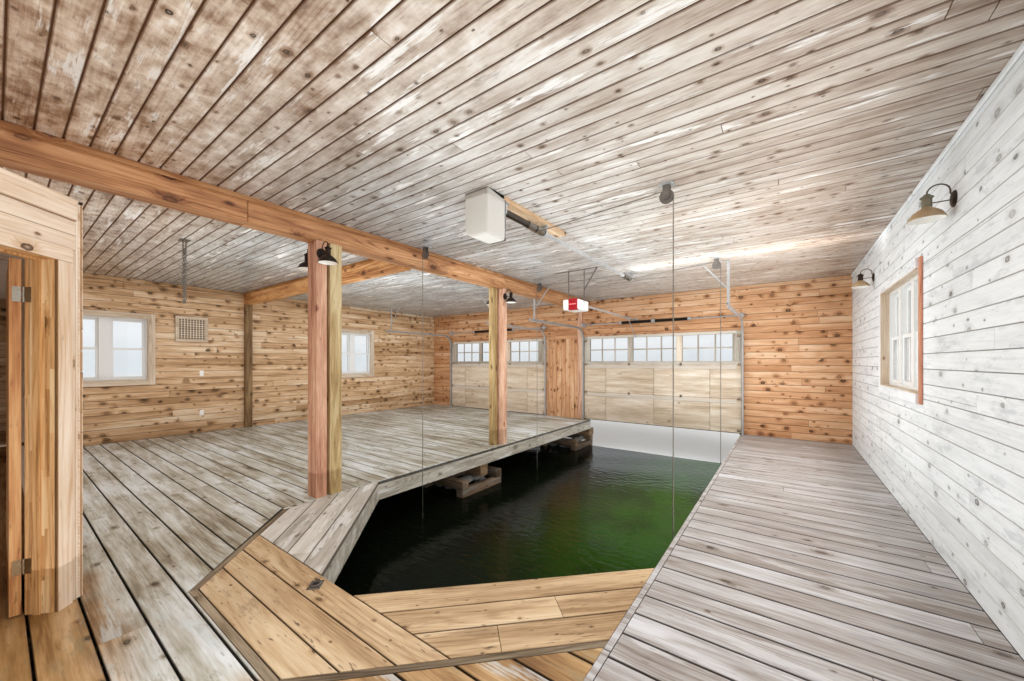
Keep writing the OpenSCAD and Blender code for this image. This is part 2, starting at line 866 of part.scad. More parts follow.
// Boat lift: shaft with a cable drum at each end, in bearings, motor under a cover, four grooved pulleys
lift_x = 2300;
lift_shaft_y = [-1000, 2790];
lift_shaft_r = 24;
drum_y = [[-911, -190], [2410, 2750]];
drum_r = 34;
drum_z = deck_z + 2955;
lift_plank_x = [2160, 2364];
lift_plank_y = [-1155, 250];
lift_plank_t = 38;
pulley_x = [540, 3670];
pulley_y = [-360, 2580];
wheel_r = 50;
cable_offset = 20;
cover_x = [2086, 2364];
cover_y = [-1255, -974];
cover_z = deck_z + 2645;
cover_round = 110;
cable_r = 5;
wheel_bend = wheel_r + cable_r + 0.2;
drum_bend = drum_r + cable_r + 0.2;

// Bearing block round the shaft, up to a base plate under the height top
module lift_bearing(y, top) {
    ring_r = 44;
    ring_d = 20;
    base_r = 60;
    base_t = 8;
    translate([lift_x, y + ring_d, drum_z]) rotate([90, 0, 0]) cylinder(r = ring_r, h = ring_d);
    block([lift_x - ring_r, y, drum_z], [lift_x + ring_r, y + ring_d, top]);
    block([lift_x - base_r, y - ring_d, top - base_t], [lift_x + base_r, y + 2 * ring_d, top]);
}

// Cover of the motor, its lower left edge rounded
module lift_cover() {
    size = [cover_x[1] - cover_x[0], ceiling_z - cover_z];
    translate([cover_x[0], cover_y[1], cover_z]) rotate([90, 0, 0]) linear_extrude(cover_y[1] - cover_y[0]) {
        translate([cover_round, 0]) square([size.x - cover_round, size.y]);
        translate([0, cover_round]) square([size.x, size.y - cover_round]);
        translate([cover_round, cover_round]) circle(r = cover_round);
    }
}

// Grooved pulley between two cheeks under a ceiling plate
module lift_pulley(x, y) {
    rim_r = wheel_r + 11;
    block([x - 60, y - 60, ceiling_z - 10], [x + 60, y + 60, ceiling_z]);
    for (d = [-22, 16]) {
        block([x - 30, y + d, drum_z], [x + 30, y + d + 6, ceiling_z - 10]);
        translate([x, y + d + 6, drum_z]) rotate([90, 0, 0]) cylinder(r = 30, h = 6);
    }
    translate([x, y, drum_z]) rotate([90, 0, 0]) {
        translate([0, 0, -26]) cylinder(r = 9, h = 52);
        rotate_extrude() polygon([
            [0, -12], [rim_r, -12], [rim_r, -9], [wheel_r, -5.5],
            [wheel_r, 5.5], [rim_r, 9], [rim_r, 12], [0, 12]
        ]);
    }
}

module boat_lift() {
    color(steel) {
        block([lift_plank_x[0], lift_plank_y[0], ceiling_z - lift_plank_t],
              [lift_plank_x[1], lift_plank_y[1], ceiling_z]);
        translate([lift_x, lift_shaft_y[1], drum_z]) rotate([90, 0, 0])
            cylinder(r = lift_shaft_r, h = lift_shaft_y[1] - lift_shaft_y[0]);
        for (y = drum_y) translate([lift_x, y[1], drum_z]) rotate([90, 0, 0])
            cylinder(r = drum_r, h = y[1] - y[0]);
        lift_bearing(drum_y[0][0] - 34, ceiling_z - lift_plank_t);
        lift_bearing(drum_y[0][1] + 1, ceiling_z - lift_plank_t);
        lift_bearing(drum_y[1][1] + 1, ceiling_z);
        lift_cover();
        for (y = pulley_y) {
            lift_pulley(pulley_x[0], y - cable_offset);
            lift_pulley(pulley_x[1], y + cable_offset);
        }
    }
}

// Cables wound on the drums, each over its pulley and straight down into the water. The left ones
// leave the drum over its top and the right ones from under it, so one turn lifts all four.
cable_end_z = 30;
wound_turns = 14;
wound_pitch = 9.5;

module wound_cable(y, side) {
    low = drum_r + cable_r;
    high = drum_bend + cable_r - 0.7;
    ridges = [for (i = [0 : wound_turns - 1], p = [[low, 0], [high, 0.3], [high, 0.7]])
        [p[0], (i + p[1]) * wound_pitch]];
    end = wound_turns * wound_pitch;
    translate([lift_x, y - side * cable_r, drum_z]) rotate([side < 0 ? 90 : -90, 0, 0]) rotate_extrude()
        polygon(concat([[drum_r, 0]], ridges, [[low, end], [drum_r, end]]));
}

// Cable over the pulley at px and down from it. Its other end meets the drum, drop lower than on the pulley.
module lift_cable(px, y, side, drop) {
    tilt = asin(drop / abs(px - lift_x));
    run = abs(px - lift_x) * cos(tilt);
    lap = 1;
    translate([px, y, drum_z]) mirror([side < 0 ? 1 : 0, 0, 0]) {
        rotate([90, 0, 0]) rotate_extrude(angle = 90 + tilt)
            translate([wheel_bend, 0]) circle(r = cable_r - 0.3);
        translate([wheel_bend, 0, cable_end_z - drum_z])
            cylinder(r = cable_r, h = drum_z - cable_end_z + lap);
        rotate([0, -90 - tilt, 0]) translate([wheel_bend, 0, -lap]) cylinder(r = cable_r, h = run + lap);
    }
}

module lift_cables() {
    color(steel) for (y = pulley_y) {
        wound_cable(y - cable_offset, -1);
        wound_cable(y + cable_offset, 1);
        lift_cable(pulley_x[0], y - cable_offset, -1, wheel_bend - drum_bend);
        lift_cable(pulley_x[1], y + cable_offset, 1, wheel_bend + drum_bend);
    }
}

// Chain hoist that hangs in the left bay: one loop of chain over a wheel
hoist_x = -1760;
hoist_y = -2400;
hoist_wheel_z = -150;
chain_gauge = 8;
link_w = 26;
link_l = 52;
link_pitch = link_l - 2 * chain_gauge + 3;
strand_x = 39;
strand_links = 16;

// Link of square bar with round ends, standing on the plane y = 0
module chain_link(turn) {
    rotate([0, 0, turn]) translate([0, chain_gauge / 2, 0]) rotate([90, 0, 0]) linear_extrude(chain_gauge)
        difference() {
            link_outline(link_w / 2);
            link_outline(link_w / 2 - chain_gauge);
        }
}

module link_outline(r) {
    end = (link_l - link_w) / 2;
    translate([-r, -end]) square([2 * r, 2 * end]);
    for (side = [-1, 1]) translate([0, side * end]) circle(r = r);
}

module chain_hoist() {
    bottom_z = hoist_wheel_z - strand_links * link_pitch;
    bottom_links = 3;
    wheel_w = 24;
    color(steel) translate([hoist_x, hoist_y, ceiling_z]) {
        block([-70, -50, -10], [70, 50, 0]);
        for (d = [-18, 12]) block([-18, d, hoist_wheel_z - 20], [18, d + 6, -10]);
        translate([0, 20, hoist_wheel_z]) rotate([90, 0, 0]) cylinder(r = 8, h = 40);
        translate([0, wheel_w / 2, hoist_wheel_z]) rotate([90, 0, 0]) cylinder(r = strand_x + 3, h = wheel_w);
        for (side = [-1, 1], i = [0 : strand_links - 1]) {
            translate([side * strand_x, 0, hoist_wheel_z - (i + 0.5) * link_pitch]) chain_link(i % 2 * 90);
        }
        for (i = [0 : bottom_links - 1]) {
            a = (i + 0.5) * 180 / bottom_links;
            translate([-strand_x * cos(a), 0, bottom_z - strand_x * sin(a)]) rotate([0, -a, 0])
                chain_link((strand_links + i) % 2 * 90);
        }
    }
}

// Square panel on the left wall
panel_y = [-1690, -1155];
panel_z = [deck_z + 1907, deck_z + 2430];

module vent_panel() {
    color(fir) block([-half_w, panel_y[0], panel_z[0]], [-half_w + 30, panel_y[1], panel_z[1]]);
}

// Closet: its front corner, where the long wall meets the slanted wall
closet_x = 905;
closet_y = -3535;
front_dx = closet_front_w * cos(45);
side_x = closet_x + front_dx;
side_y = closet_y - front_dx;
inner_cut = closet_t * miter;
jamb_t = 19;
jamb_near = 144;
jamb_far = jamb_near + doorway_w;
closet_wall_h = closet_h - 20;
band_h = 134;
band_t = 19;
band_inset = 25;
lining_t = 19;
seam = 0.5;

// Puts children along the slanted wall: x along it from the corner, y out of its face
module along_front() {
    translate([closet_x, closet_y, deck_z]) rotate([0, 0, -45]) children();
}

module closet_wall(outline) {
    color(pine) slab(outline, deck_z, deck_z + closet_wall_h);
}

// The long wall has a lining whose edge shows beside the slanted wall
module closet_long_wall() {
    closet_wall([
        [-half_w, closet_y + lining_t], [-half_w, closet_y - closet_t],
        [closet_x - inner_cut, closet_y - closet_t], [closet_x, closet_y], [closet_x, closet_y + lining_t]
    ]);
}

module closet_side_wall() {
    closet_wall([
        [side_x, side_y], [side_x - closet_t, side_y - inner_cut],
        [side_x - closet_t, -half_d], [side_x, -half_d]
    ]);
}

module closet_front_left() {
    color(pine) along_front() slab([
        [seam, 0], [seam + inner_cut, -closet_t], [jamb_near - jamb_t, -closet_t], [jamb_near - jamb_t, 0]
    ], 0, closet_wall_h);
}

module closet_front_right() {
    color(pine) along_front() slab([
        [closet_front_w - seam, 0], [jamb_far + jamb_t, 0],
        [jamb_far + jamb_t, -closet_t], [closet_front_w - seam - inner_cut, -closet_t]
    ], 0, closet_wall_h);
}

module closet_front_header() {
    color(pine) along_front() block([jamb_near - jamb_t, -closet_t, doorway_h + jamb_t],
                                    [jamb_far + jamb_t, 0, closet_wall_h - seam]);
}

// Top board over the closet's walls, and the band under its edge along the slanted wall
module closet_top() {
    color(pine) {
        slab([
            [-half_w, -half_d], [side_x, -half_d], [side_x, side_y], [closet_x, closet_y],
            [closet_x, closet_y + lining_t], [-half_w, closet_y + lining_t]
        ], deck_z + closet_wall_h, deck_z + closet_h);
        along_front() {
            block([band_inset, -band_t, closet_wall_h], [closet_front_w - band_inset, band_t, closet_h]);
            block([band_inset, seam, closet_h - band_h], [closet_front_w - band_inset, band_t, closet_h]);
        }
    }
}

// Closet door and its frame, with the hinge pins just inside the wall
hinge_gap = 5;
leaf_t = 44;
leaf_w = doorway_w - 2 * hinge_gap;
leaf_h = doorway_h - 15;
pin_back = 6;
pin_x = jamb_near + hinge_gap / 2;
pin_y = -closet_t - pin_back;
hinge_h = 89;
hinge_z = [243, 1843];
hinge_r = 6;
hinge_pin_r = 3;
hinge_plate = 2;
stop_t = 12;
stop_w = 35;
stop_y = pin_y + pin_back + leaf_t + hinge_gap;
door_casing_t = 19;
door_casing_w = 89;

module closet_door_frame() {
    color(fir) along_front() {
        difference() {
            block([jamb_near - jamb_t, -closet_t, 0], [jamb_far + jamb_t, 0, doorway_h + jamb_t]);
            block([jamb_near, -closet_t - 1, -1], [jamb_far, 1, doorway_h]);
        }
        difference() {
            block([jamb_near, stop_y, 0], [jamb_far, stop_y + stop_w, doorway_h]);
            block([jamb_near + stop_t, stop_y - 1, -1],
                  [jamb_far - stop_t, stop_y + stop_w + 1, doorway_h - stop_t]);
        }
        difference() {
            block([jamb_near - door_casing_w, 0, 0],
                  [jamb_far + door_casing_w, door_casing_t, doorway_h + door_casing_w]);
            block([jamb_near, -1, -1], [jamb_far, door_casing_t + 1, doorway_h]);
        }
    }
    color(steel) along_front() translate([pin_x, pin_y, 0]) for (z = hinge_z) {
        knuckle = hinge_h / 3;
        for (dz = [0, 2 * knuckle]) translate([0, 0, z + dz]) cylinder(r = hinge_r, h = knuckle);
        translate([0, 0, z]) cylinder(r = hinge_pin_r, h = hinge_h);
        for (dz = [0, 2 * knuckle]) {
            block([-hinge_gap / 2, 2, z + dz], [-hinge_gap / 2 + hinge_plate, 40, z + dz + knuckle]);
        }
        block([-hinge_gap / 2, 8, z], [-hinge_gap / 2 + hinge_plate, 40, z + hinge_h]);
    }
}

module closet_door() {
    knob_x = leaf_w - 55;
    knob_z = 915;
    color(fir) along_front() translate([pin_x, pin_y, 0]) rotate([0, 0, -door_open]) {
        block([hinge_gap / 2, pin_back, 10], [hinge_gap / 2 + leaf_w, pin_back + leaf_t, 10 + leaf_h]);
        for (side = [-1, 1]) {
            translate([knob_x, pin_back + (side > 0 ? leaf_t : 0), knob_z]) rotate([-90 * side, 0, 0]) {
                cylinder(r = 12, h = 35);
                translate([0, 0, 30]) cylinder(r = 27, h = 25);
            }
        }
        for (z = hinge_z) {
            knuckle = hinge_h / 3;
            difference() {
                union() {
                    translate([0, 0, z + knuckle + 0.5]) cylinder(r = hinge_r, h = knuckle - 1);
                    block([hinge_gap / 2 - hinge_plate, 2, z + knuckle + 0.5],
                          [hinge_gap / 2, 10, z + 2 * knuckle - 0.5]);
                    block([hinge_gap / 2 - hinge_plate, 8, z], [hinge_gap / 2, 40, z + hinge_h]);
                }
                translate([0, 0, z]) cylinder(r = hinge_pin_r + 0.3, h = hinge_h);
            }
        }
    }
}

cribs();
girders();
joists();
bay_door_sill();
left_deck();
right_deck();
land_deck();
slip_apron();
slip_fascia();
left_wall();
right_wall();
land_wall();
land_door();
lake_piers();
lake_gable();
ceiling();
roof_left();
roof_right();
ridge_cap();
bargeboards();
eave_fascias();
main_beam();
cross_beam();
posts();
windows();
window_glass();
window_casings();
slip_door();
bay_door();
slip_door_tracks();
bay_door_tracks();
door_opener();
barn_lamps();
boat_lift();
lift_cables();
chain_hoist();
vent_panel();
closet_long_wall();
closet_side_wall();
closet_front_left();
closet_front_right();
closet_front_header();
closet_top();
closet_door_frame();
closet_door();
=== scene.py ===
"""Looks of the timber boathouse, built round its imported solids. All lengths are in metres."""
import math
import random

import bmesh
import bpy
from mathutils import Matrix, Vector, noise


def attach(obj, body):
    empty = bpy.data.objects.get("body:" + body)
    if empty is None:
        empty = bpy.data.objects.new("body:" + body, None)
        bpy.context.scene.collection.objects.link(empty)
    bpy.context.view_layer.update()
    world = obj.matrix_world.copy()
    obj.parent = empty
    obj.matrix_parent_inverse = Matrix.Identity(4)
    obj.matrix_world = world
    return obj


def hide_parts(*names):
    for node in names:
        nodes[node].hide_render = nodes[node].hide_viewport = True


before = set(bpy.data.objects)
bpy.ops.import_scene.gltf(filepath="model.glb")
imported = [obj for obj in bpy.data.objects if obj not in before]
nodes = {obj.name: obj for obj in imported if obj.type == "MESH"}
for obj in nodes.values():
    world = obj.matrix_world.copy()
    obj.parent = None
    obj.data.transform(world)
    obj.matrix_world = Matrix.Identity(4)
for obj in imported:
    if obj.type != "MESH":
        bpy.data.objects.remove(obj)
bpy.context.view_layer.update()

# Places of the building's faces, as in part.scad
HALF_W, HALF_D = 5.485, 5.25
OUT_X, OUT_Y = 5.665, 5.43
DECK_Z, CEILING_Z, JOIST_Z, WALL_TOP = 0.69, 3.755, 0.46, 3.895
SLOPE, EAVE_X, VERGE_Y, ROOF_T = 0.33, 6.065, 5.73, 0.1264
SLIP_L, SLIP_R = 0.42, 3.76
LAKE_HEAD_Z = 2.80
SLIP_DOOR, BAY_DOOR = (0.27, 3.78), (-4.56, -0.92)
DOOR_LAP, DOOR_Y, DOOR_Z, DOOR_H, DOOR_T = 0.04, 5.205, 0.70, 2.134, 0.045
GROUP_PITCH, GROUP_W, GROUP_Z, GROUP_H, MUNTIN = 1.105, 0.972, 2.20, 0.572, 0.028
TWIN, TRIPLE = (1.16, 1.19, 1.83), (1.54, 1.11, 1.90)
LEFT_WINDOWS, RIGHT_WINDOWS, LAND_WINDOWS = (-2.66, 2.185), (1.71,), (2.76,)
CASING_W, CASING_T, OUTER_CASING_T, REVEAL = 0.09, 0.038, 0.025, 0.04
LAND_DOOR, LAND_DOOR_TOP = (3.90, 4.76), 2.74
BEAM_L, BEAM_R, BEAM_Z = 0.20, 0.39, 3.51
POST_Y, POST_D, SECOND_D, SECOND_W = (-1.785, 1.56), 0.12, 0.14, 0.09
SECOND_POSTS = ((0.30, -1.63), (0.20, 1.385))
CROSS_Y, CROSS_W, CROSS_Z = -0.42, 0.14, 3.49
CLOSET = (0.905, -3.535)
CLOSET_W, CLOSET_H, CLOSET_T = 1.056, 2.506, 0.15
JAMB_NEAR, JAMB_FAR, DOORWAY_H, DOOR_CASING = 0.144, 0.918, 2.10, 0.089
PIN, LEAF = (0.89828, -3.74890), (0.0025, 0.7665, 0.006, 0.050)
LINING, SIDING = 0.019, 0.020


def rgb(text):
    """Linear colour of a hexadecimal sRGB value."""
    parts = [int(text[i:i + 2], 16) / 255 for i in (0, 2, 4)]
    return tuple(c / 12.92 if c <= 0.04045 else ((c + 0.055) / 1.055) ** 2.4 for c in parts) + (1,)


def hues(text):
    """Colours spread from the start of a ramp to its end."""
    codes = text.split()
    return [(i / (len(codes) - 1), rgb(code)) for i, code in enumerate(codes)]


def put(name, data):
    """A new object in the scene."""
    made = bpy.data.objects.new(name, data)
    bpy.context.scene.collection.objects.link(made)
    return made


# Camera, at the viewpoint of the photograph
camera_data = bpy.data.cameras.new("camera")
camera = bpy.context.scene.camera = put("camera", camera_data)
camera.location = (4.53, -3.85, 2.18)
camera.rotation_euler = (math.radians(90), 0, math.radians(36.06))
camera_data.sensor_width = 36
camera_data.lens = 13.265
camera_data.shift_y = 0.021
camera_data.clip_start = 0.02
bpy.context.scene.view_settings.view_transform = "Standard"


class Shader:
    """The nodes of a material or of the world, made in short calls. place is the object's own place, or the sky's."""

    def __init__(self, name, world=False):
        self.owner = (bpy.data.worlds if world else bpy.data.materials).new(name)
        self.owner.use_nodes = True
        self.tree = self.owner.node_tree
        self.surface = self.tree.nodes["Background" if world else "Principled BSDF"]
        self.place = self.node("TexCoord", out=0 if world else 3)

    def node(self, kind, inputs=(), out=0, **options):
        made = self.tree.nodes.new("ShaderNode" + kind)
        for key, value in options.items():
            setattr(made, key, value)
        for key, value in (inputs.items() if isinstance(inputs, dict) else enumerate(inputs)):
            self.feed(made.inputs[key], value)
        return made.outputs[out]

    def feed(self, socket, value):
        if isinstance(value, bpy.types.NodeSocket):
            self.tree.links.new(value, socket)
        elif value is not None:
            socket.default_value = value

    def math(self, operation, a, b=None, c=None):
        return self.node("Math", (a, b, c), operation=operation)

    def add(self, a, b):
        return self.math("ADD", a, b)

    def times(self, a, b, plus=None):
        return self.math("MULTIPLY", a, b) if plus is None else self.math("MULTIPLY_ADD", a, b, plus)

    def centred(self, value):
        return self.math("SUBTRACT", value, 0.5)

    def part(self, vector, axis):
        return self.node("SeparateXYZ", (vector,), out=axis)

    def scale(self, vector, factors):
        return self.node("VectorMath", (vector, factors), operation="MULTIPLY")

    def noise(self, vector, scale=1.0, detail=2.0, rough=0.5):
        return self.node("TexNoise", {"Vector": vector, "Scale": scale, "Detail": detail, "Roughness": rough})

    def span(self, value, low, high, start=0.0, end=1.0, kind="SMOOTHSTEP"):
        return self.node("MapRange", (value, low, high, start, end), interpolation_type=kind)

    def line(self, value, low, high, start=0.0, end=1.0):
        return self.span(value, low, high, start, end, "LINEAR")

    def mix(self, factor, a, b, blend="MIX"):
        made = self.tree.nodes.new("ShaderNodeMix")
        made.data_type, made.blend_type = "RGBA", blend
        for index, value in ((0, factor), (6, a), (7, b)):
            self.feed(made.inputs[index], value)
        return made.outputs[2]

    def ramp(self, value, stops):
        made = self.node("ValToRGB", (value,))
        steps = made.node.color_ramp.elements
        for i, (at, colour) in enumerate(stops):
            step = steps[i] if i < 2 else steps.new(at)
            step.position, step.color = at, colour
        return made

    def bump(self, height, strength, distance):
        return self.node("Bump", {"Height": height, "Strength": strength, "Distance": distance})

    def set(self, **values):
        for key, value in values.items():
            self.feed(self.surface.inputs[key.replace("_", " ")], value)
        return self.owner


def wood(name, ramp, knot, cloud=None, white=None, rings=0.25, streaks=0.3, stains=0.5, knots=0.3, knot_size=0.1,
         knot_grid=(4.2, 7.0), flecks=0.4, blot=1.0, rim="4a2d18", rough=0.5, tone=0.35, coat=0.0, cad_axis=None,
         shade_and_wear=None, other=None):
    """Boards: grain along the first grain coordinate, growth rings that bend round knots, short dark flecks,
    a tone for each board, painted shade on their edges in the gaps between boards, and grey or white patches.
    ramp has the colours from light to dark. cloud and white are patches: colour, threshold and strength. cad_axis
    takes the grain from the object's own place. wash darkens or lightens by place, with painted light and shade
    as well as wear and stains, and other is a second ramp and its share by place."""
    s = Shader(name)
    edge = None
    if cad_axis is None:
        grain = s.node("Attribute", out=1, attribute_name="grain")
        board = s.node("Attribute", out=2, attribute_name="tone")
        edge = s.node("Attribute", out=2, attribute_name="rim")
    else:
        x, y, z = (s.part(s.place, i) for i in range(3))
        grain = s.node("CombineXYZ", {"X": (x, y, z), "Y": (y, x, z), "Z": (z, x, y)}[cad_axis])
        board = s.noise(s.scale(s.place, (0.7, 0.7, 0.7)), detail=0)
    along, across, depth = (s.part(grain, i) for i in range(3))
    across = s.add(across, depth)

    spot = s.node("CombineXYZ", (s.times(along, knot_grid[0]), s.times(across, knot_grid[1])))
    near = s.node("TexVoronoi", {"Vector": spot, "Scale": 1.0}, voronoi_dimensions="2D")
    chance, size, weight = (s.node("SeparateColor", (near.node.outputs["Color"],), out=i) for i in range(3))
    there = s.math("LESS_THAN", chance, knots)
    force = s.line(weight, 0.0, 1.0, 0.35, 1.0)
    radius = s.line(s.math("POWER", size, 2.0), 0.0, 1.0, knot_size * 0.3, knot_size * 1.5)
    wobble = s.times(s.noise(grain, 45, 2), 0.09, s.math("SUBTRACT", near, 0.045))
    core = s.times(there, s.span(wobble, radius, s.add(radius, 0.02), 1.0, 0.0))
    hollow = s.span(wobble, 0.0, s.times(radius, 0.85), 0.45, 1.0)
    halo = s.times(there, s.span(wobble, radius, s.times(radius, 3.5), 1.0, 0.0))

    slow = s.noise(s.scale(grain, (0.5, 5.0, 5.0)), detail=1)
    pitch = s.line(board, 0.0, 1.0, 14.0, 46.0)
    phase = s.times(slow, 11.0, s.times(across, pitch))
    phase = s.times(halo, 1.8, phase)
    ring = s.times(s.math("SINE", s.times(phase, 2 * math.pi)), 0.5, 0.5)
    ring = s.times(s.math("POWER", ring, 3.0), s.span(slow, 0.35, 0.6, 0.2, 1.0))
    streak = s.line(s.noise(s.scale(grain, (4.0, 110.0, 110.0)), detail=2, rough=0.6), 0.3, 0.7, -0.5, 0.5)
    stain = s.line(s.noise(s.scale(grain, (blot, 9.0, 9.0)), detail=4, rough=0.65), 0.34, 0.66, -0.5, 0.5)
    fleck = s.span(s.noise(s.scale(grain, (11.0, 75.0, 75.0)), detail=1), 0.68, 0.76)

    amount = s.times(stain, stains, 0.4 - rings * 0.3)
    for value, strength in ((ring, rings), (streak, streaks), (s.centred(board), tone), (halo, 0.3)):
        amount = s.times(value, strength, amount)
    # Darkening and lightening by place: painted light and shade on the ceiling, a worn path and stains on the deck.
    if shade_and_wear:
        amount = s.add(amount, shade_and_wear(s))
    colour = s.ramp(amount, hues(ramp))
    if other:
        colour = s.mix(other[1](s), colour, s.ramp(amount, hues(other[0])))
    if cloud:
        patch = s.span(s.noise(s.scale(grain, (2.2, 8.0, 8.0)), detail=5, rough=0.7), cloud[1], cloud[1] + 0.1)
        colour = s.mix(s.times(patch, cloud[2]), colour, rgb(cloud[0]))
    if white:
        patchy = s.noise(s.scale(grain, (1.3, 7.0, 7.0)), detail=5, rough=0.65)
        patchy = s.times(streak, -0.06, patchy)
        colour = s.mix(s.times(s.span(patchy, white[1], white[1] + 0.08), white[2]), colour, rgb(white[0]))
    colour = s.mix(s.times(fleck, flecks), colour, rgb(knot))
    colour = s.mix(s.times(s.times(core, hollow), force), colour, rgb(knot))
    # Painted shade: the sides and bevels of the boards darken, as the gaps between them would fall dark.
    if edge is not None:
        colour = s.mix(s.times(edge, 0.85), colour, rgb(rim))
    gloss = s.span(s.add(streak, stain), -0.5, 0.5, rough - 0.07, rough + 0.12)
    height = s.times(ring, 0.3, s.times(core, -0.8, streak))
    s.set(Base_Color=colour, Roughness=gloss, Normal=s.bump(height, 0.3, 0.001))
    if coat:
        s.set(Coat_Weight=coat, Coat_Roughness=0.22)
    return s.owner


def ceiling_painted_light_and_stains(s):
    """Painted shade: darker boards over the left bay, near the closet and towards the right wall. Painted light:
    lighter ones over the slip. Broad blotches and mould, strongest near the closet.
    """
    x, y = s.part(s.place, 0), s.part(s.place, 1)
    left = s.span(x, 0.4, 2.6, 0.06, -0.04)
    near = s.span(y, -3.9, -2.2, 0.12, 0.0)
    right = s.span(x, 4.2, 5.4, 0.02, 0.2)
    broad = s.times(s.centred(s.noise(s.place, 1.1, 3)), s.span(y, -3.2, -1.2, 0.8, 0.35))
    mould = s.times(s.centred(s.noise(s.place, 9.0, 3, 0.65)), s.span(y, -3.4, -1.6, 1.4, 0.0))
    return s.add(s.add(s.add(left, near), s.add(right, broad)), mould)


def ceiling_cool_light(s):
    """Share of the cool grey ramp, painted cool light on the boards: none near the closet, most over the left bay."""
    x, y = s.part(s.place, 0), s.part(s.place, 1)
    return s.times(s.span(y, -3.5, -1.6), s.span(x, 0.0, 4.4, 1.0, 0.35))


def deck_brown(s):
    """Share of the browner planks, beside the closet door and the land wall."""
    x, y = s.part(s.place, 0), s.part(s.place, 1)
    edge = s.times(s.noise(s.place, 1.3, 3), 0.8, s.math("SUBTRACT", y, 0.4))
    return s.math("MAXIMUM", s.span(edge, -3.4, -3.65), s.span(x, 2.3, 2.7))


def deck_wash(s):
    """A worn, paler path before the closet, and broad stains."""
    y = s.part(s.place, 1)
    path = s.span(s.math("ABSOLUTE", s.add(y, 3.0)), 0.05, 0.5, -0.14, 0.0)
    broad = s.times(s.centred(s.noise(s.place, 0.9, 4)), 1.1)
    return s.add(path, broad)


WORN = 0.7


def steel(name, colour, rough, spangle=0.06, metallic=1.0):
    """Metal with a faint spangle, darker where it is worn."""
    s = Shader(name)
    cells = s.node("TexVoronoi", {"Vector": s.place, "Scale": 70.0}, out=1)
    grain = s.node("SeparateColor", (cells,), out=0)
    wear = s.noise(s.place, 9, 3)
    shade = s.times(grain, spangle * 2, 1 - spangle)
    colour = rgb(colour)
    tinted = s.mix(s.times(s.span(wear, 0.45, 0.75), 0.5), colour, tuple(c * WORN for c in colour[:3]) + (1,))
    tinted = s.mix(1.0, tinted, s.node("CombineColor", (shade, shade, shade)), "MULTIPLY")
    return s.set(Base_Color=tinted, Metallic=metallic, Roughness=s.span(wear, 0.3, 0.7, rough - 0.06, rough + 0.08),
                 Normal=s.bump(s.noise(s.place, 160, 2), 0.12, 0.0006))


def plain(name, colour, rough, speck=0.04, scale=30.0, bump=0.1):
    """Painted, moulded or mineral surface with slight mottling."""
    s = Shader(name)
    mottle = s.noise(s.place, scale, 3)
    shade = s.line(mottle, 0.3, 0.7, 1 - speck, 1 + speck)
    tinted = s.mix(1.0, rgb(colour), s.node("CombineColor", (shade, shade, shade)), "MULTIPLY")
    return s.set(Base_Color=tinted, Roughness=s.span(mottle, 0.3, 0.7, rough - 0.05, rough + 0.06),
                 Normal=s.bump(s.noise(s.place, scale * 6, 2), bump, 0.001))


def shingle_material():
    s = Shader("roof_shingles")
    board = s.node("Attribute", out=2, attribute_name="tone")
    grit = s.noise(s.place, 260, 2, 0.7)
    shade = s.times(s.centred(grit), 1.6, board)
    colour = s.mix(s.line(shade, 0.0, 1.0), rgb("4b4c4e"), rgb("7d7b78"))
    return s.set(Base_Color=colour, Roughness=0.9, Normal=s.bump(grit, 0.6, 0.002))


KNOT = "2b180e"
PINE = wood("pine_boards", "ecd6b8 d4ae86 ab835a 6e4b2c", "1f130c", knots=0.5, knot_size=0.15, tone=0.34,
            streaks=0.1, flecks=0.3, rings=0.16, knot_grid=(5.0, 7.0))
LAKE_PINE = wood("lake_wall_boards", "e4c2a0 d29f74 b27a4e 7f4a27", KNOT, knots=0.5, knot_size=0.15,
                 knot_grid=(5.2, 7.0), tone=0.28, streaks=0.08, stains=0.4, flecks=0.2, rings=0.14)
PALE_PINE = wood("pale_boards", "f3f5f6 e9ebec d7d8d8 aeaba6", "5f5a55",
                 cloud=("b9bcc0", 0.54, 0.5), streaks=0.12, stains=0.4, blot=1.6, knots=0.45,
                 tone=0.15, rings=0.15, rim="a9a49c", flecks=0.2)
CLOSET_PINE = wood("closet_boards", "ecddce dfcab3 c9a888 a47b52", "4a2c18", tone=0.2,
                   streaks=0.15, stains=0.4, rim="9a7248", flecks=0.2)
STRIP_PINE = wood("corner_strips", "dcae78 c8905a a4683a 6e4222", "4a2c18", knots=0.2,
                  rim="6a4020")
# Ceiling boards: the white patches are whitewash together with painted sheen.
CEILING_PINE = wood("ceiling_boards", "ece4da d6c4b2 b79f8a 8a6a50 5a3d28", "2a1c14",
                    cloud=("80685a", 0.57, 0.4), white=("eceae6", 0.57, 0.8), rings=0.12, streaks=0.12,
                    stains=0.34, blot=2.0, knots=0.5, knot_size=0.075, knot_grid=(5.6, 7.5), tone=0.1,
                    rough=0.34, coat=0.35, shade_and_wear=ceiling_painted_light_and_stains, rim="5c3a22",
                    other=("dfe5ea bfc4c6 9c9d9b 76716b 4b453f", ceiling_cool_light))
# Left deck planks: the cool pale end of the ramp and the cool white patches are painted sheen.
BROWN_DECK = wood("deck_planks", "dee1e2 bebbb1 958b77 564733", "33291e",
                  cloud=("827659", 0.55, 0.5), white=("cfd8d9", 0.58, 0.45), rings=0.16, streaks=0.14,
                  stains=0.6, knots=0.24, knot_size=0.07, rough=0.44, tone=0.14, rim="241b13", shade_and_wear=deck_wash,
                  other=("c9a77c a98251 80592f 4c3117", deck_brown))
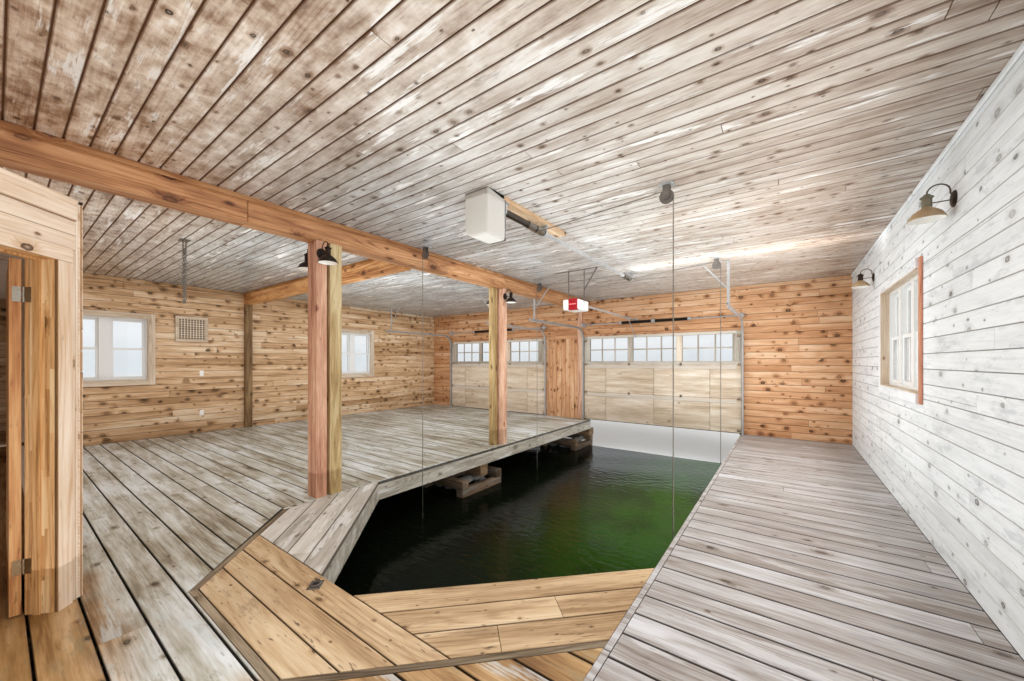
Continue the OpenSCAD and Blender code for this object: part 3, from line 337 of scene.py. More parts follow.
# Right deck planks: the pale grey patches are worn fibres together with painted sheen.
GREY_DECK = wood("right_deck_planks", "cfcdcf aaa39f 85786e 4f3f33", "332b28",
                 cloud=("86838a", 0.56, 0.4), white=("c8c4c2", 0.58, 0.6), rings=0.2, streaks=0.2,
                 stains=0.4, knots=0.2, knot_size=0.08, rough=0.42, tone=0.16, rim="2c211a")
NEW_PLANK = wood("apron_planks", "d3bb98 bd9d76 977650 5e4328", "452c17", rings=0.2, streaks=0.15,
                 knots=0.4, knot_size=0.06, rough=0.55, rim="3c2717", flecks=0.8, tone=0.25,
                 cloud=("8a6b4a", 0.56, 0.55))
BORDER_PLANK = wood("border_strips", "a9987f 8a7860 66543d 40301e", "34210f",
                    streaks=0.25, knots=0.1, stains=0.6, rim="3c2717", flecks=0.7)
WHITE_PLANK = wood("washed_planks", "dfdbd4 c8c1b7 a79e93 776c60", "42342a",
                   white=("dfdcd8", 0.55, 0.7), rings=0.15, streaks=0.15, stains=0.35, knots=0.4, knot_size=0.08,
                   rim="5c5045", flecks=0.6)
FIR = wood("beam_fir", "cc9c72 b17d50 8b5835 55311a", "3c1d10", rings=0.3, streaks=0.2, tone=0.1,
           knot_grid=(2.6, 5.0))
BROWN_FIR = wood("cross_beam_fir", "d8a468 b97c42 8d5628 52300f", "3c1d10", rings=0.4)
PINK_FIR = wood("post_fir", "e0bca0 c8977a a26d52 6f412c", "5a2c1c", rings=0.3,
                knots=0.2, knot_size=0.07)
YELLOW_FIR = wood("second_post_fir", "cbb68c ae9363 87693d 5c4322", "4a3018", knots=0.25)
DARK_FIR = wood("wall_post_fir", "8f7048 6d5030 4c361d 2e1f0e", "23160a", knots=0.25)
RED_FIR = wood("casing_fir", "cf8e70 b5735a 8f503a 5f3020", "4a2216", knots=0.15)
DOOR_WOOD = wood("door_boards", "e8dccd d4c0a9 b69e83 8a7055", "6e4a2c", rings=0.2, knots=0.14,
                 knot_size=0.06, tone=0.15, streaks=0.15, stains=0.45, rim="6e5238")
DOOR_FRAME = wood("door_frame_boards", "cfc6ba b6ab9d 948878 6c6155", "7a6a58", rings=0.15,
                  streaks=0.2, knots=0.05, rim="77695b")
JAMB = wood("jamb_strips", "f0d0a0 dfb07a c08d57 8a5c32", "4a2a14", rings=0.3, streaks=0.2,
            knots=0.05, tone=0.6, rim="84552a")
CRIB_WOOD = wood("crib_timber", "8d7860 6b5743 4b3b2d 2d231a", "241a14",
                 cloud=("6f6a62", 0.5, 0.7), rough=0.75)
FRAME_WOOD = wood("frame_timber", "a58b6b 84694c 5f4a35 3c2d1f", "241a14", rough=0.7, cad_axis="X")
JOIST_WOOD = wood("joist_timber", "a58b6b 84694c 5f4a35 3c2d1f", "241a14", rough=0.7, cad_axis="Y")
FASCIA_WOOD = wood("slip_boards", "dfdad0 c4bcae 99907f 6a6052", "54463c",
                   white=("e2dfda", 0.55, 0.7), cad_axis="Y")
SIDING_WOOD = wood("siding_boards", "dcb686 c0925f 976a40 654321", KNOT, rough=0.6, knots=0.35)
SOFFIT_WOOD = wood("soffit_boards", "dcbe96 bd9a6e 99744c 6b4d2c", KNOT, rough=0.6, cad_axis="Y")
TRIM = wood("painted_trim", "e6e2d8 dcd7cc cbc5b9 b0a898", "c0b8aa", rings=0.1, streaks=0.15,
            stains=0.25, knots=0.02, tone=0.1, cad_axis="Y", rough=0.45, flecks=0.0)
LAND_DOOR_WOOD = wood("land_door_boards", "d8a878 ba8350 8f5f36 5f3c1d", "4a2a14", cad_axis="Z",
                      knots=0.05)
# The dark backings behind the boards show in the gaps between them: their dark colour is painted shade.
GAP_SHADE_BACKING = plain("board_backing_gap_shade", "3c2a1c", 0.85, 0.15, 12)
CEILING_GAP_SHADE_BACKING = plain("ceiling_backing_gap_shade", "6b4324", 0.85, 0.15, 12)
# Near-black sheet behind the vent panel's holes: painted shade.
HOLE_SHADE_PANEL = plain("vent_hole_shade", "17120d", 0.8, 0.1, 12)
SHINGLES = shingle_material()
GALVANISED = steel("galvanised", "c6c8c9", 0.36, 0.10, 0.55)
CHAIN_STEEL = steel("chain_steel", "8b8782", 0.45, 0.06, 0.8)
CABLE_STEEL = steel("cable_steel", "b7b5b0", 0.42, 0.04)
PALE_STEEL = plain("strut_enamel", "d3c8ba", 0.42, 0.05)
BRIGHT_STEEL = steel("bright_steel", "d6d2c8", 0.26, 0.03)
DARK_STEEL = steel("drum_steel", "6b6763", 0.4, 0.08)
BLACK_STEEL = steel("black_steel", "262424", 0.42, 0.03, 0.6)
BRONZE = steel("bronze_enamel", "3a302a", 0.38, 0.02, 0.7)
ARM_ENAMEL = steel("arm_enamel", "6d6258", 0.40, 0.02, 0.6)
# Tan of the wall lamps' shades: partly the enamel's own colour, partly a painted reflection.
TAN_ENAMEL_AND_REFLECTION = steel("lamp_shade_tan_and_reflection", "c2a682", 0.42, 0.02, 0.3)
OLIVE_ENAMEL = steel("neck_enamel", "8a8572", 0.42, 0.02, 0.5)
WHITE_VINYL = plain("white_vinyl", "e9e9e7", 0.34, 0.02)
OFF_WHITE = plain("cover_enamel", "bbb6ae", 0.45, 0.02)
LAMP_WHITE = plain("lamp_white", "f6f3ec", 0.4, 0.01)
RUBBER = plain("door_seal", "1c1c1d", 0.7, 0.06)
RED_LENS = plain("red_lens", "9c1420", 0.16, 0.05)
# Lighter pink stripe across the opener's red lens: painted highlight.
LENS_HIGHLIGHT = plain("lens_painted_highlight", "e57a78", 0.2, 0.03)
STONE = plain("crib_stone", "7c7a74", 0.8, 0.3, 9, 0.5)


def glass_material():
    s = Shader("window_pane")
    return s.set(Base_Color=rgb("fbfdfe"), Roughness=0.01, IOR=1.45, Transmission_Weight=1.0)


def water_material():
    s = Shader("slip_water")
    x, y = s.part(s.place, 0), s.part(s.place, 1)
    weed = s.noise(s.scale(s.place, (1.0, 0.7, 1.0)), 1.6, 3)
    lit = s.times(s.span(y, -1.9, 1.2), s.span(x, 1.2, 3.4))
    lit = s.times(lit, s.span(weed, 0.25, 0.6, 0.5, 1.0))
    colour = s.mix(lit, rgb("0a0e08"), rgb("274e07"))
    waves = s.noise(s.scale(s.place, (1.0, 1.8, 1.0)), 7.0, 3)
    return s.set(Base_Color=colour, Roughness=0.04, IOR=1.33, Specular_IOR_Level=0.13,
                 Normal=s.bump(waves, 0.35, 0.02))


GLASS = glass_material()
WATER = water_material()


class Frame:
    """A face in space: its origin, the directions along the boards and across them, and the one out of the face."""

    def __init__(self, origin, along, across, out):
        self.origin = Vector(origin)
        self.along, self.across, self.out = (Vector(v).normalized() for v in (along, across, out))
        self.mirrored = self.along.cross(self.across).dot(self.out) < 0

    def at(self, p):
        return self.origin + self.along * p[0] + self.across * p[1] + self.out * p[2]

    def local(self, p):
        """The coordinates of a point of the world along the frame's three directions."""
        away = Vector(p) - self.origin
        return away.dot(self.along), away.dot(self.across), away.dot(self.out)


X, Y, Z = (1, 0, 0), (0, 1, 0), (0, 0, 1)
BACK_X, BACK_Y, DOWN = (-1, 0, 0), (0, -1, 0), (0, 0, -1)
WORLD = Frame((0, 0, 0), X, Y, Z)


def clip(polygon, a, b, keep_left=True):
    """The part of a convex polygon to the left of the line from a to b, or to its right."""
    sign = 1 if keep_left else -1
    made = []
    for p, q in edges(polygon):
        dp, dq = (sign * ((b[0] - a[0]) * (e[1] - a[1]) - (b[1] - a[1]) * (e[0] - a[0])) for e in (p, q))
        if dp >= 0:
            made.append(p)
        if dp * dq < 0:
            t = dp / (dp - dq)
            made.append((p[0] + (q[0] - p[0]) * t, p[1] + (q[1] - p[1]) * t))
    return made


def edges(polygon):
    return list(zip(polygon, polygon[1:] + polygon[:1]))


def area(polygon):
    return sum(p[0] * q[1] - q[0] * p[1] for p, q in edges(polygon)) / 2


def circle(radius, count):
    """Points on a circle, anticlockwise."""
    return [(radius * math.cos(2 * math.pi * k / count), radius * math.sin(2 * math.pi * k / count))
            for k in range(count)]


def inside(polygon, region):
    for a, b in edges(region):
        polygon = clip(polygon, a, b)
        if len(polygon) < 3:
            return []
    return polygon


def outside(polygon, hole):
    """Convex pieces of a polygon that lie outside a convex hole."""
    if len(inside(polygon, hole)) < 3 or area(inside(polygon, hole)) < 1e-6:
        return [polygon]
    made, rest = [], polygon
    for a, b in edges(hole):
        off = clip(rest, a, b, keep_left=False)
        if len(off) >= 3 and area(off) > 1e-6:
            made.append(off)
        rest = clip(rest, a, b)
    return made


def inset(polygon, by, ends=0.35):
    """A convex polygon with each edge moved inwards, and those across the boards by a smaller share."""
    lines = []
    for p, q in edges(polygon):
        d = Vector((q[0] - p[0], q[1] - p[1])).normalized()
        reach = by if abs(d.x) > 0.6 else by * ends
        lines.append((Vector((p[0] - d.y * reach, p[1] + d.x * reach)), d))
    made = []
    for (p, d), (q, e) in zip([lines[-1]] + lines[:-1], lines):
        cross = d.x * e.y - d.y * e.x
        t = ((q.x - p.x) * e.y - (q.y - p.y) * e.x) / cross if abs(cross) > 1e-9 else 0
        made.append((p.x + d.x * t, p.y + d.y * t))
    return made


def rect(x0, y0, x1, y1):
    return [(x0, y0), (x1, y0), (x1, y1), (x0, y1)]


def without_short_edges(polygon, least=0.0005):
    made = [p for p, q in edges(polygon) if abs(p[0] - q[0]) + abs(p[1] - q[1]) > least]
    return made if len(made) >= 3 else []


class Builder:
    """Collects shapes into one mesh with several materials, wood grain, a tone for each board, and a mark
    for painted shade in the gaps between boards.
    """

    def __init__(self, name, *materials, seed=1):
        self.name, self.materials = name, materials
        self.verts, self.faces, self.grain, self.tone, self.rim, self.slots = [], [], [], [], [], []
        self.rng = random.Random(seed)

    def anywhere(self):
        """A random place in the grain."""
        return tuple(self.rng.uniform(0, 40) for _ in range(3))

    def add(self, points, faces, place=None, slot=0, tone=None, offset=None, rim=None):
        """points are (along, across, out) in the frame place."""
        place = place or WORLD
        offset = offset or self.anywhere()
        tone = self.rng.random() if tone is None else tone
        base = len(self.verts)
        for p in points:
            self.verts.append(tuple(place.at(p)))
            self.grain.extend((p[0] + offset[0], p[1] + offset[1], p[2] + offset[2]))
            self.tone.append(tone)
        self.rim.extend(rim or [0.0] * len(points))
        for f in faces:
            f = [base + i for i in f]
            self.faces.append(f[::-1] if place.mirrored else f)
            self.slots.append(slot)

    def loft(self, rings, place=None, caps=True, closed=False, **board):
        """Skin over rings of points with as many in each, or one where it comes to a point."""
        marks, count = [], 0
        for ring in rings:
            marks.append(range(count, count + len(ring)))
            count += len(ring)
        faces = [list(marks[0])[::-1], list(marks[-1])] if caps else []
        for a, b in edges(marks) if closed else zip(marks, marks[1:]):
            for k in range(max(len(a), len(b))):
                corners = (a[k % len(a)], a[(k + 1) % len(a)], b[(k + 1) % len(b)], b[k % len(b)])
                if len(set(corners)) > 2:
                    faces.append(list(dict.fromkeys(corners)))
        self.add([p for ring in rings for p in ring], faces, place, **board)

    def plank(self, place, polygon, thick, bevel=0.003, both=False, front=0.0, steps=1, ends=0.35, **board):
        """Board whose outline lies in the frame's face, its front edges bevelled, or rounded in steps."""
        polygon = without_short_edges(polygon)
        if not polygon:
            return
        turns = [math.pi / 2 * k / steps for k in range(steps + 1)]
        rings = [(inset(polygon, bevel * (1 - math.cos(a)), ends), front - bevel * (1 - math.sin(a)), k / steps)
                 for k, a in enumerate(turns)]
        if both:
            rings = [(outline, 2 * front - thick - z, far) for outline, z, far in rings[::-1]] + rings
        else:
            rings.insert(0, (polygon, front - thick, 0.0))
        # The back and sides of a one-sided board carry painted shade for the gaps, fading out across the bevel.
        rim = [0.0 if both else 1 - far for outline, z, far in rings for _ in outline]
        self.loft([[(*p, z) for p in outline] for outline, z, far in rings], place, rim=rim, **board)

    def lay(self, place, region, pitch, thick, start=0.0, gap=0.0015, bevel=0.003, lengths=(2.2, 4.8), holes=(),
            slot=0, front=0.0):
        """Rows of boards with staggered butt joints over a convex region, cut round convex holes."""
        low, high = min(p[1] for p in region), max(p[1] for p in region)
        left, right = min(p[0] for p in region), max(p[0] for p in region)
        row = math.floor((low - start) / pitch)
        while start + row * pitch < high - 0.002:
            y0, y1 = start + row * pitch + gap / 2, start + (row + 1) * pitch - gap / 2
            x = left - self.rng.uniform(0, lengths[0])
            while x < right:
                end = x + self.rng.uniform(*lengths)
                board = dict(slot=slot, tone=self.rng.random(), offset=self.anywhere())
                pieces = [inside(rect(x + 0.0006, y0, end - 0.0006, y1), region)]
                for hole in holes:
                    pieces = [made for piece in pieces if len(piece) > 2 for made in outside(piece, hole)]
                for piece in pieces:
                    if len(piece) > 2 and area(piece) > 2e-4:
                        self.plank(place, piece, thick, bevel, front=front, **board)
                x = end
            row += 1

    def stick(self, low, high, axis, bevel=0.004, **board):
        """Bevelled bar between two corners, its grain along axis 0, 1 or 2."""
        low, high = (Vector([pick(p, q) for p, q in zip(low, high)]) for pick in (min, max))
        size = high - low
        wide, deep = (axis + 1) % 3, (axis + 2) % 3
        place = Frame(low, *((X, Y, Z)[i] for i in (axis, wide, deep)))
        self.plank(place, rect(0, 0, size[axis], size[wide]), size[deep], min(bevel, min(size) * 0.4), both=True,
                   front=size[deep], ends=1.0, **board)

    def copy(self, node, place=None, move=None, slot=0, pick=None, skip=None):
        """Copy of a CAD node's mesh, its grain along the frame place. move shifts a vertex, pick gives a
        face's slot and skip leaves a face out, both by the face's centre and normal."""
        place = place or WORLD
        mesh = nodes[node].data
        points = [tuple(move(v.co.copy()) if move else v.co) for v in mesh.vertices]
        offset = self.anywhere()
        kept = [p for p in mesh.polygons if not (skip and skip(p.center, p.normal))]
        used = sorted({i for p in kept for i in p.vertices})
        index = {v: len(self.verts) + k for k, v in enumerate(used)}
        tone = self.rng.random()
        for v in used:
            self.verts.append(points[v])
            self.grain.extend(c + o for c, o in zip(place.local(points[v]), offset))
            self.tone.append(tone)
            self.rim.append(0.0)
        for p in kept:
            self.faces.append([index[i] for i in p.vertices])
            self.slots.append(pick(p.center, p.normal) if pick else slot)

    def lathe(self, origin, axis, profile, slot=0, segments=32, closed=False):
        """Surface turned round an axis through origin; profile is (radius, height) pairs."""
        axis = Vector(axis).normalized()
        side = axis.orthogonal().normalized()
        self.loft([[(*p, h) for p in circle(r, segments)] if r > 1e-6 else [(0, 0, h)] for r, h in profile],
                  Frame(origin, side, axis.cross(side), axis), caps=False, closed=closed, slot=slot)

    def tube(self, path, radius, slot=0):
        """Round bar along a path of points."""
        path = [Vector(p) for p in path]
        side = (path[1] - path[0]).orthogonal().normalized()
        rings = []
        for before, p, after in zip([path[0]] + path, path, path[1:] + [path[-1]]):
            ahead = (after - before).normalized()
            side = (side - ahead * side.dot(ahead)).normalized()
            up = ahead.cross(side)
            rings.append([tuple(p + side * x + up * y) for x, y in circle(radius, 12)])
        self.loft(rings, slot=slot)

    def soft_box(self, low, high, radius, slot=0):
        """Box with all edges and corners rounded."""
        low, high, steps = Vector(low), Vector(high), 4
        turn = [radius * (1 - math.cos(math.pi / 2 * k / steps)) for k in range(steps + 1)]
        marks = [[low[a] + t for t in turn] + [high[a] - t for t in turn[::-1]] for a in range(3)]
        last = 2 * steps + 1
        index, points, faces = {}, [], []

        def point(key):
            if key not in index:
                index[key] = len(points)
                p = Vector([marks[a][key[a]] for a in range(3)])
                core = Vector([min(max(p[a], low[a] + radius), high[a] - radius) for a in range(3)])
                points.append(tuple(core + (p - core).normalized() * radius))
            return index[key]

        for a in range(3):
            b, c = (a + 1) % 3, (a + 2) % 3
            for end in (0, last):
                for i in range(last):
                    for j in range(last):
                        corners = []
                        for di, dj in ((0, 0), (1, 0), (1, 1), (0, 1)):
                            key = [0, 0, 0]
                            key[a], key[b], key[c] = end, i + di, j + dj
                            corners.append(point(tuple(key)))
                        faces.append(corners if end else corners[::-1])
        self.add(points, faces, slot=slot)

    def done(self, body="building", replaces=(), smooth=None):
        mesh = bpy.data.meshes.new(self.name)
        mesh.from_pydata(self.verts, [], self.faces)
        mesh.attributes.new("grain", "FLOAT_VECTOR", "POINT").data.foreach_set("vector", self.grain)
        mesh.attributes.new("tone", "FLOAT", "POINT").data.foreach_set("value", self.tone)
        mesh.attributes.new("rim", "FLOAT", "POINT").data.foreach_set("value", self.rim)
        for material in self.materials:
            mesh.materials.append(material)
        mesh.polygons.foreach_set("material_index", self.slots)
        mesh.update()
        if smooth:
            mesh.shade_smooth()
            mesh.set_sharp_from_angle(angle=math.radians(smooth))
        piece = put(self.name, mesh)
        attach(piece, body)
        if replaces:
            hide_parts(*replaces)
        return piece


def dress(name, material):
    """Gives a CAD node that stays its material."""
    mesh = nodes[name].data
    mesh.materials.clear()
    mesh.materials.append(material)


# Widths of the inner and outer boards, and how each kind of board is laid
BOARD, CLAP = 0.13, 0.15
GROOVED = dict(gap=0.0025, bevel=0.004)
CLAPPED = dict(bevel=0.006, slot=2)
DECKED = dict(bevel=0.004, lengths=(3.2, 5.6))
FITTED = dict(gap=0.006, bevel=0.004, lengths=(4, 5))


def window_holes(middles, kind, base, edge=0.0):
    """Outlines of windows on a face that starts at edge and base; kind is their width, height and lowest z."""
    w, h, z = kind[0] / 2, kind[1], kind[2] - base
    return [rect(m - w - edge, z, m + w - edge, z + h) for m in middles]


def thin(axis, side, inner, outer):
    """Makes room for the boards on both faces of a wall's copy."""
    def move(p):
        if abs(p[axis] - side * inner) < 0.0008:
            p[axis] = side * (inner + LINING)
        elif abs(p[axis] - side * outer) < 0.0008:
            p[axis] = side * (outer - SIDING)
        return p
    return move


# Side walls
for side, node, windows, kind, inner in (
    (-1, "left_wall", LEFT_WINDOWS, TWIN, PINE), (1, "right_wall", RIGHT_WINDOWS, TRIPLE, PALE_PINE),
):
    b = Builder(node + "_boards", inner, GAP_SHADE_BACKING, SIDING_WOOD, seed=11 + side)
    b.copy(node, move=thin(0, side, HALF_W, OUT_X), slot=1)
    for x, out, base, top, pitch, thick, style in (
        (HALF_W, -side, DECK_Z, CEILING_Z, BOARD, LINING, GROOVED),
        (OUT_X, side, JOIST_Z, WALL_TOP, CLAP, SIDING, CLAPPED),
    ):
        b.lay(Frame((side * x, -HALF_D, base), Y, Z, (out, 0, 0)), rect(0, 0, 2 * HALF_D, top - base), pitch, thick,
              holes=window_holes(windows, kind, base, -HALF_D), **style)
    if side > 0:
        b.stick((HALF_W - 0.02, -HALF_D, CEILING_Z - 0.04), (HALF_W, HALF_D, CEILING_Z), 1, 0.008)
    b.done(replaces=[node])

# End walls
GABLE = [(-OUT_X, JOIST_Z), (OUT_X, JOIST_Z), (OUT_X, WALL_TOP), (0, WALL_TOP + OUT_X * SLOPE), (-OUT_X, WALL_TOP)]
PIER = rect(BAY_DOOR[1] - DOOR_LAP, 0, SLIP_DOOR[0] + DOOR_LAP, LAKE_HEAD_Z)
door_holes = [rect(a + DOOR_LAP, 0, z - DOOR_LAP, LAKE_HEAD_Z) for a, z in (SLIP_DOOR, BAY_DOOR)]
land_holes = [rect(LAND_DOOR[0], DECK_Z, LAND_DOOR[1], LAND_DOOR_TOP)] + window_holes(LAND_WINDOWS, TWIN, 0)
for side, name, lining, seed, solids, holes, piers in (
    (1, "lake_wall_boards", LAKE_PINE, 21, ("lake_piers", "lake_gable"), door_holes, [PIER]),
    (-1, "land_wall_boards", PINE, 22, ("land_wall",), land_holes, []),
):
    b = Builder(name, lining, GAP_SHADE_BACKING, SIDING_WOOD, seed=seed)
    for node in solids:
        b.copy(node, move=thin(1, side, HALF_D, OUT_Y), slot=1)
    b.lay(Frame((0, side * HALF_D, 0), X, Z, (0, -side, 0)), rect(-HALF_W, DECK_Z, HALF_W, CEILING_Z), BOARD, LINING,
          start=DECK_Z, holes=holes + piers, **GROOVED)
    for (left, low), _, (right, high), _ in piers:
        b.lay(Frame((0, HALF_D, 0), Z, X, BACK_Y), rect(DECK_Z, left, high, right), BOARD, LINING, start=left,
              lengths=(3, 4), **GROOVED)
    b.lay(Frame((0, side * OUT_Y, 0), X, Z, (0, side, 0)), GABLE, CLAP, SIDING, start=JOIST_Z, holes=holes, **CLAPPED)
    b.done(replaces=solids)

# Boards on the outer corners
CORNER_W, CORNER_T = 0.10, 0.018
b = Builder("corner_boards", TRIM, seed=23)
for sx in (-1, 1):
    for sy in (-1, 1):
        corner = (sx * OUT_X, sy * (OUT_Y + CORNER_T), JOIST_Z)
        b.stick(corner, (sx * (OUT_X + CORNER_T), sy * (OUT_Y - CORNER_W), WALL_TOP - 0.03), 2, 0.003)
        b.stick(corner, (sx * (OUT_X - CORNER_W), sy * OUT_Y, WALL_TOP - 0.01), 2, 0.003)
b.done()

# Ceiling
CEILING_BOARD, CEILING_T = 0.1275, 0.012
b = Builder("ceiling_boards", CEILING_PINE, CEILING_GAP_SHADE_BACKING, seed=31)
b.copy("ceiling", move=lambda p: Vector((p.x, p.y, max(p.z, CEILING_Z + CEILING_T))), slot=1)
b.lay(Frame((-HALF_W, 0, CEILING_Z), X, Y, DOWN), rect(0, -HALF_D, 2 * HALF_W, HALF_D), CEILING_BOARD, CEILING_T,
      start=-1.65, gap=0.007, bevel=0.006, lengths=(3.6, 5.8))
b.done(replaces=["ceiling"])

# Decks
PLANK, EDGE = 0.0395, 0.04
APRON = [(SLIP_L, -2.135), (1.39, -3.105), (2.625, -3.105), (SLIP_R, -1.97)]
deck_face = Frame((0, 0, DECK_Z), X, Y, Z)
slip_hole = [(SLIP_L, HALF_D + 1)] + APRON + [(SLIP_R, HALF_D + 1)]
b = Builder("left_deck_planks", BROWN_DECK, seed=41)
b.lay(deck_face, rect(-HALF_W, -HALF_D, SLIP_R, HALF_D), 0.2035, PLANK, start=-2.72, gap=0.011,
      holes=[[(x - EDGE if x == SLIP_L else x, y) for x, y in slip_hole]], **DECKED)
b.plank(deck_face, rect(SLIP_L - EDGE + 0.002, -2.12, SLIP_L, HALF_D), PLANK, 0.003)
b.done(replaces=["left_deck", "land_deck"])

b = Builder("right_deck_planks", GREY_DECK, seed=42)
b.lay(deck_face, rect(SLIP_R + EDGE, -HALF_D, HALF_W, HALF_D), 0.207, PLANK, start=-0.984, gap=0.012, **DECKED)
for y0, y1 in ((-1.98, HALF_D), (-HALF_D, -1.984)):
    b.plank(deck_face, rect(SLIP_R, y0, SLIP_R + EDGE - 0.003, y1), PLANK, 0.003)
b.done(replaces=["right_deck"])

# Apron: border strips, three boards along the end, slanted boards on both sides
HALF = math.sqrt(0.5)
STRIP = 0.045
b = Builder("apron_planks", NEW_PLANK, WHITE_PLANK, BORDER_PLANK, seed=43)
left_face = Frame((0, 0, DECK_Z), (HALF, -HALF, 0), (HALF, HALF, 0), Z)
right_face = Frame((0, 0, DECK_Z), (HALF, HALF, 0), (-HALF, HALF, 0), Z)


def turned(face, points):
    return [face.local((x, y, DECK_Z))[:2] for x, y in points]


grow = STRIP * math.sqrt(2)
INNER_Y, END_Y, TIP_Y = -2.498, APRON[1][1], -1.027
INNER_X, TIP_X, WINGS = (0.785, 3.23), (1.893, 2.287), (0.785, 0.668)
RIGHT_START = -4.785 * HALF - WINGS[1] + STRIP
end_l, end_r = APRON[1][0], APRON[2][0]
tip_l, tip_r = (end_l + grow - STRIP, END_Y + STRIP), (end_r - grow + STRIP, END_Y + STRIP)
in_l, in_r = INNER_X[0] + grow, INNER_X[1] - grow
b.lay(deck_face, [(in_l, INNER_Y - 0.004), tip_l, tip_r, (in_r, INNER_Y - 0.004)], 0.1865, PLANK,
      start=END_Y + STRIP + 0.001, **FITTED)
left_wing = [(SLIP_L, APRON[0][1] + grow), (in_l, INNER_Y), (TIP_X[0], INNER_Y), (SLIP_L, TIP_Y)]
b.lay(left_face, turned(left_face, left_wing), (WINGS[0] - STRIP) / 4, PLANK,
      start=(SLIP_L + APRON[0][1] + grow) * HALF, slot=1, **FITTED)
right_wing = [(TIP_X[1], INNER_Y), (in_r, INNER_Y), (SLIP_R, APRON[3][1] + grow), (SLIP_R, TIP_Y)]
b.lay(right_face, turned(right_face, right_wing), (WINGS[1] - STRIP) / 3, PLANK,
      start=RIGHT_START, **FITTED)
for face, outline in (
    (deck_face, [*APRON[1:3], (tip_r[0], tip_r[1] - 0.002), (tip_l[0], tip_l[1] - 0.002)]),
    (left_face, [*APRON[:2], tip_l, (SLIP_L, APRON[0][1] + grow - 0.002)]),
    (right_face, [*APRON[2:], (SLIP_R, APRON[3][1] + grow - 0.002), tip_r]),
):
    b.plank(face, turned(face, outline), PLANK, 0.002, slot=2)
b.done(replaces=["slip_apron"])

# Flush lifting ring in the apron's end, at the tip of the slip
RING, RING_HALF, RING_PLATE = (1.985, -2.585), 0.052, 0.004
b = Builder("apron_ring", CHAIN_STEEL, DARK_STEEL, seed=44)
ring_face = Frame((*RING, DECK_Z), (HALF, -HALF, 0), (HALF, HALF, 0), Z)
b.plank(ring_face, rect(-RING_HALF, -RING_HALF * 0.8, RING_HALF, RING_HALF * 0.8), RING_PLATE, 0.002,
        front=RING_PLATE, ends=1.0)
b.lathe(ring_face.at((0, 0, RING_PLATE)), Z, [(0, 0), (0.020, 0), (0.020, 0.0005), (0, 0.0005)], slot=1)
b.lathe(ring_face.at((0, 0, RING_PLATE + 0.005)), Z, [(0.029 + x, y) for x, y in circle(0.005, 12)], closed=True)
b.tube([ring_face.at((-0.040, d, RING_PLATE + 0.005)) for d in (-0.014, 0.0, 0.014)], 0.007, slot=1)
for u in (-1, 1):
    for v in (-1, 1):
        b.lathe(ring_face.at((u * 0.042, v * 0.033, RING_PLATE)), Z, [(0.006, 0), (0.005, 0.002), (0, 0.0028)],
                slot=1, segments=12)
b.done(smooth=40)

# Beams and posts
b = Builder("main_beam_timber", FIR, seed=51)
for y0, y1 in ((-HALF_D, -2.43), (-2.428, 1.62), (1.622, HALF_D)):
    b.stick((BEAM_L, y0, BEAM_Z), (BEAM_R, y1, CEILING_Z), 1, 0.006)
b.stick((BEAM_R, -HALF_D, CEILING_Z - 0.042), (BEAM_R + 0.02, HALF_D, CEILING_Z), 1, 0.003)
b.done(replaces=["main_beam"])
b = Builder("cross_beam_timber", BROWN_FIR, seed=52)
b.stick((-HALF_W, CROSS_Y - CROSS_W / 2, CROSS_Z), (BEAM_L, CROSS_Y + CROSS_W / 2, CEILING_Z), 0, 0.006)
b.done(replaces=["cross_beam"])
b = Builder("post_timber", PINK_FIR, YELLOW_FIR, DARK_FIR, seed=53)
middle = (BEAM_L + BEAM_R) / 2
for y in POST_Y:
    b.stick((BEAM_L, y, DECK_Z), (middle - 0.0005, y + POST_D, BEAM_Z), 2, 0.005)
    b.stick((middle + 0.0005, y, DECK_Z), (BEAM_R, y + POST_D, BEAM_Z), 2, 0.005)
for x, y in SECOND_POSTS:
    b.stick((x, y, DECK_Z), (x + SECOND_W, y + SECOND_D, BEAM_Z), 2, 0.006, slot=1)
b.stick((-HALF_W, CROSS_Y - CROSS_W / 2, DECK_Z), (-HALF_W + 0.09, CROSS_Y + CROSS_W / 2, CROSS_Z), 2, 0.005, slot=2)
b.stick((0.065, HALF_D - 0.038, DECK_Z), (0.205, HALF_D, BEAM_Z), 2, 0.004)
b.done(replaces=["posts"])

# Window casings, the boards in the openings' sides, and the right window's muntins
LINER = 0.012


def case_window(b, place, kind, deep, slots):
    """Casing boards round an opening whose bottom middle is the frame's origin: left, right, head, sill."""
    w, h, c = kind[0] / 2, kind[1], CASING_W
    upright = Frame(place.origin, place.across, place.along, place.out)
    thin, near = (0.019, 0.055) if slots[0] == 2 else (deep, c)
    for face, outline, front, bevel, slot in (
        (upright, rect(-c, -w - near, h + c, -w), thin, 0.004, slots[0]),
        (upright, rect(-c, w, h + c, w + c), deep, 0.004, slots[1]),
        (place, rect(-w, h, w, h + c), deep, 0.004, slots[2]),
        (place, rect(-w, -c, w, 0), deep, 0.004, slots[3]),
        (upright, rect(0, -w, h, -w + LINER), thin, 0.001, slots[4]),
        (upright, rect(0, w - LINER, h, w), deep, 0.001, slots[4]),
        (place, rect(-w + LINER, h - LINER, w - LINER, h), deep, 0.001, slots[4]),
        (place, rect(-w + LINER, 0, w - LINER, LINER), deep, 0.001, slots[4]),
    ):
        b.plank(face, outline, front + (REVEAL if bevel < 0.002 else 0), bevel, both=True, front=front, slot=slot)


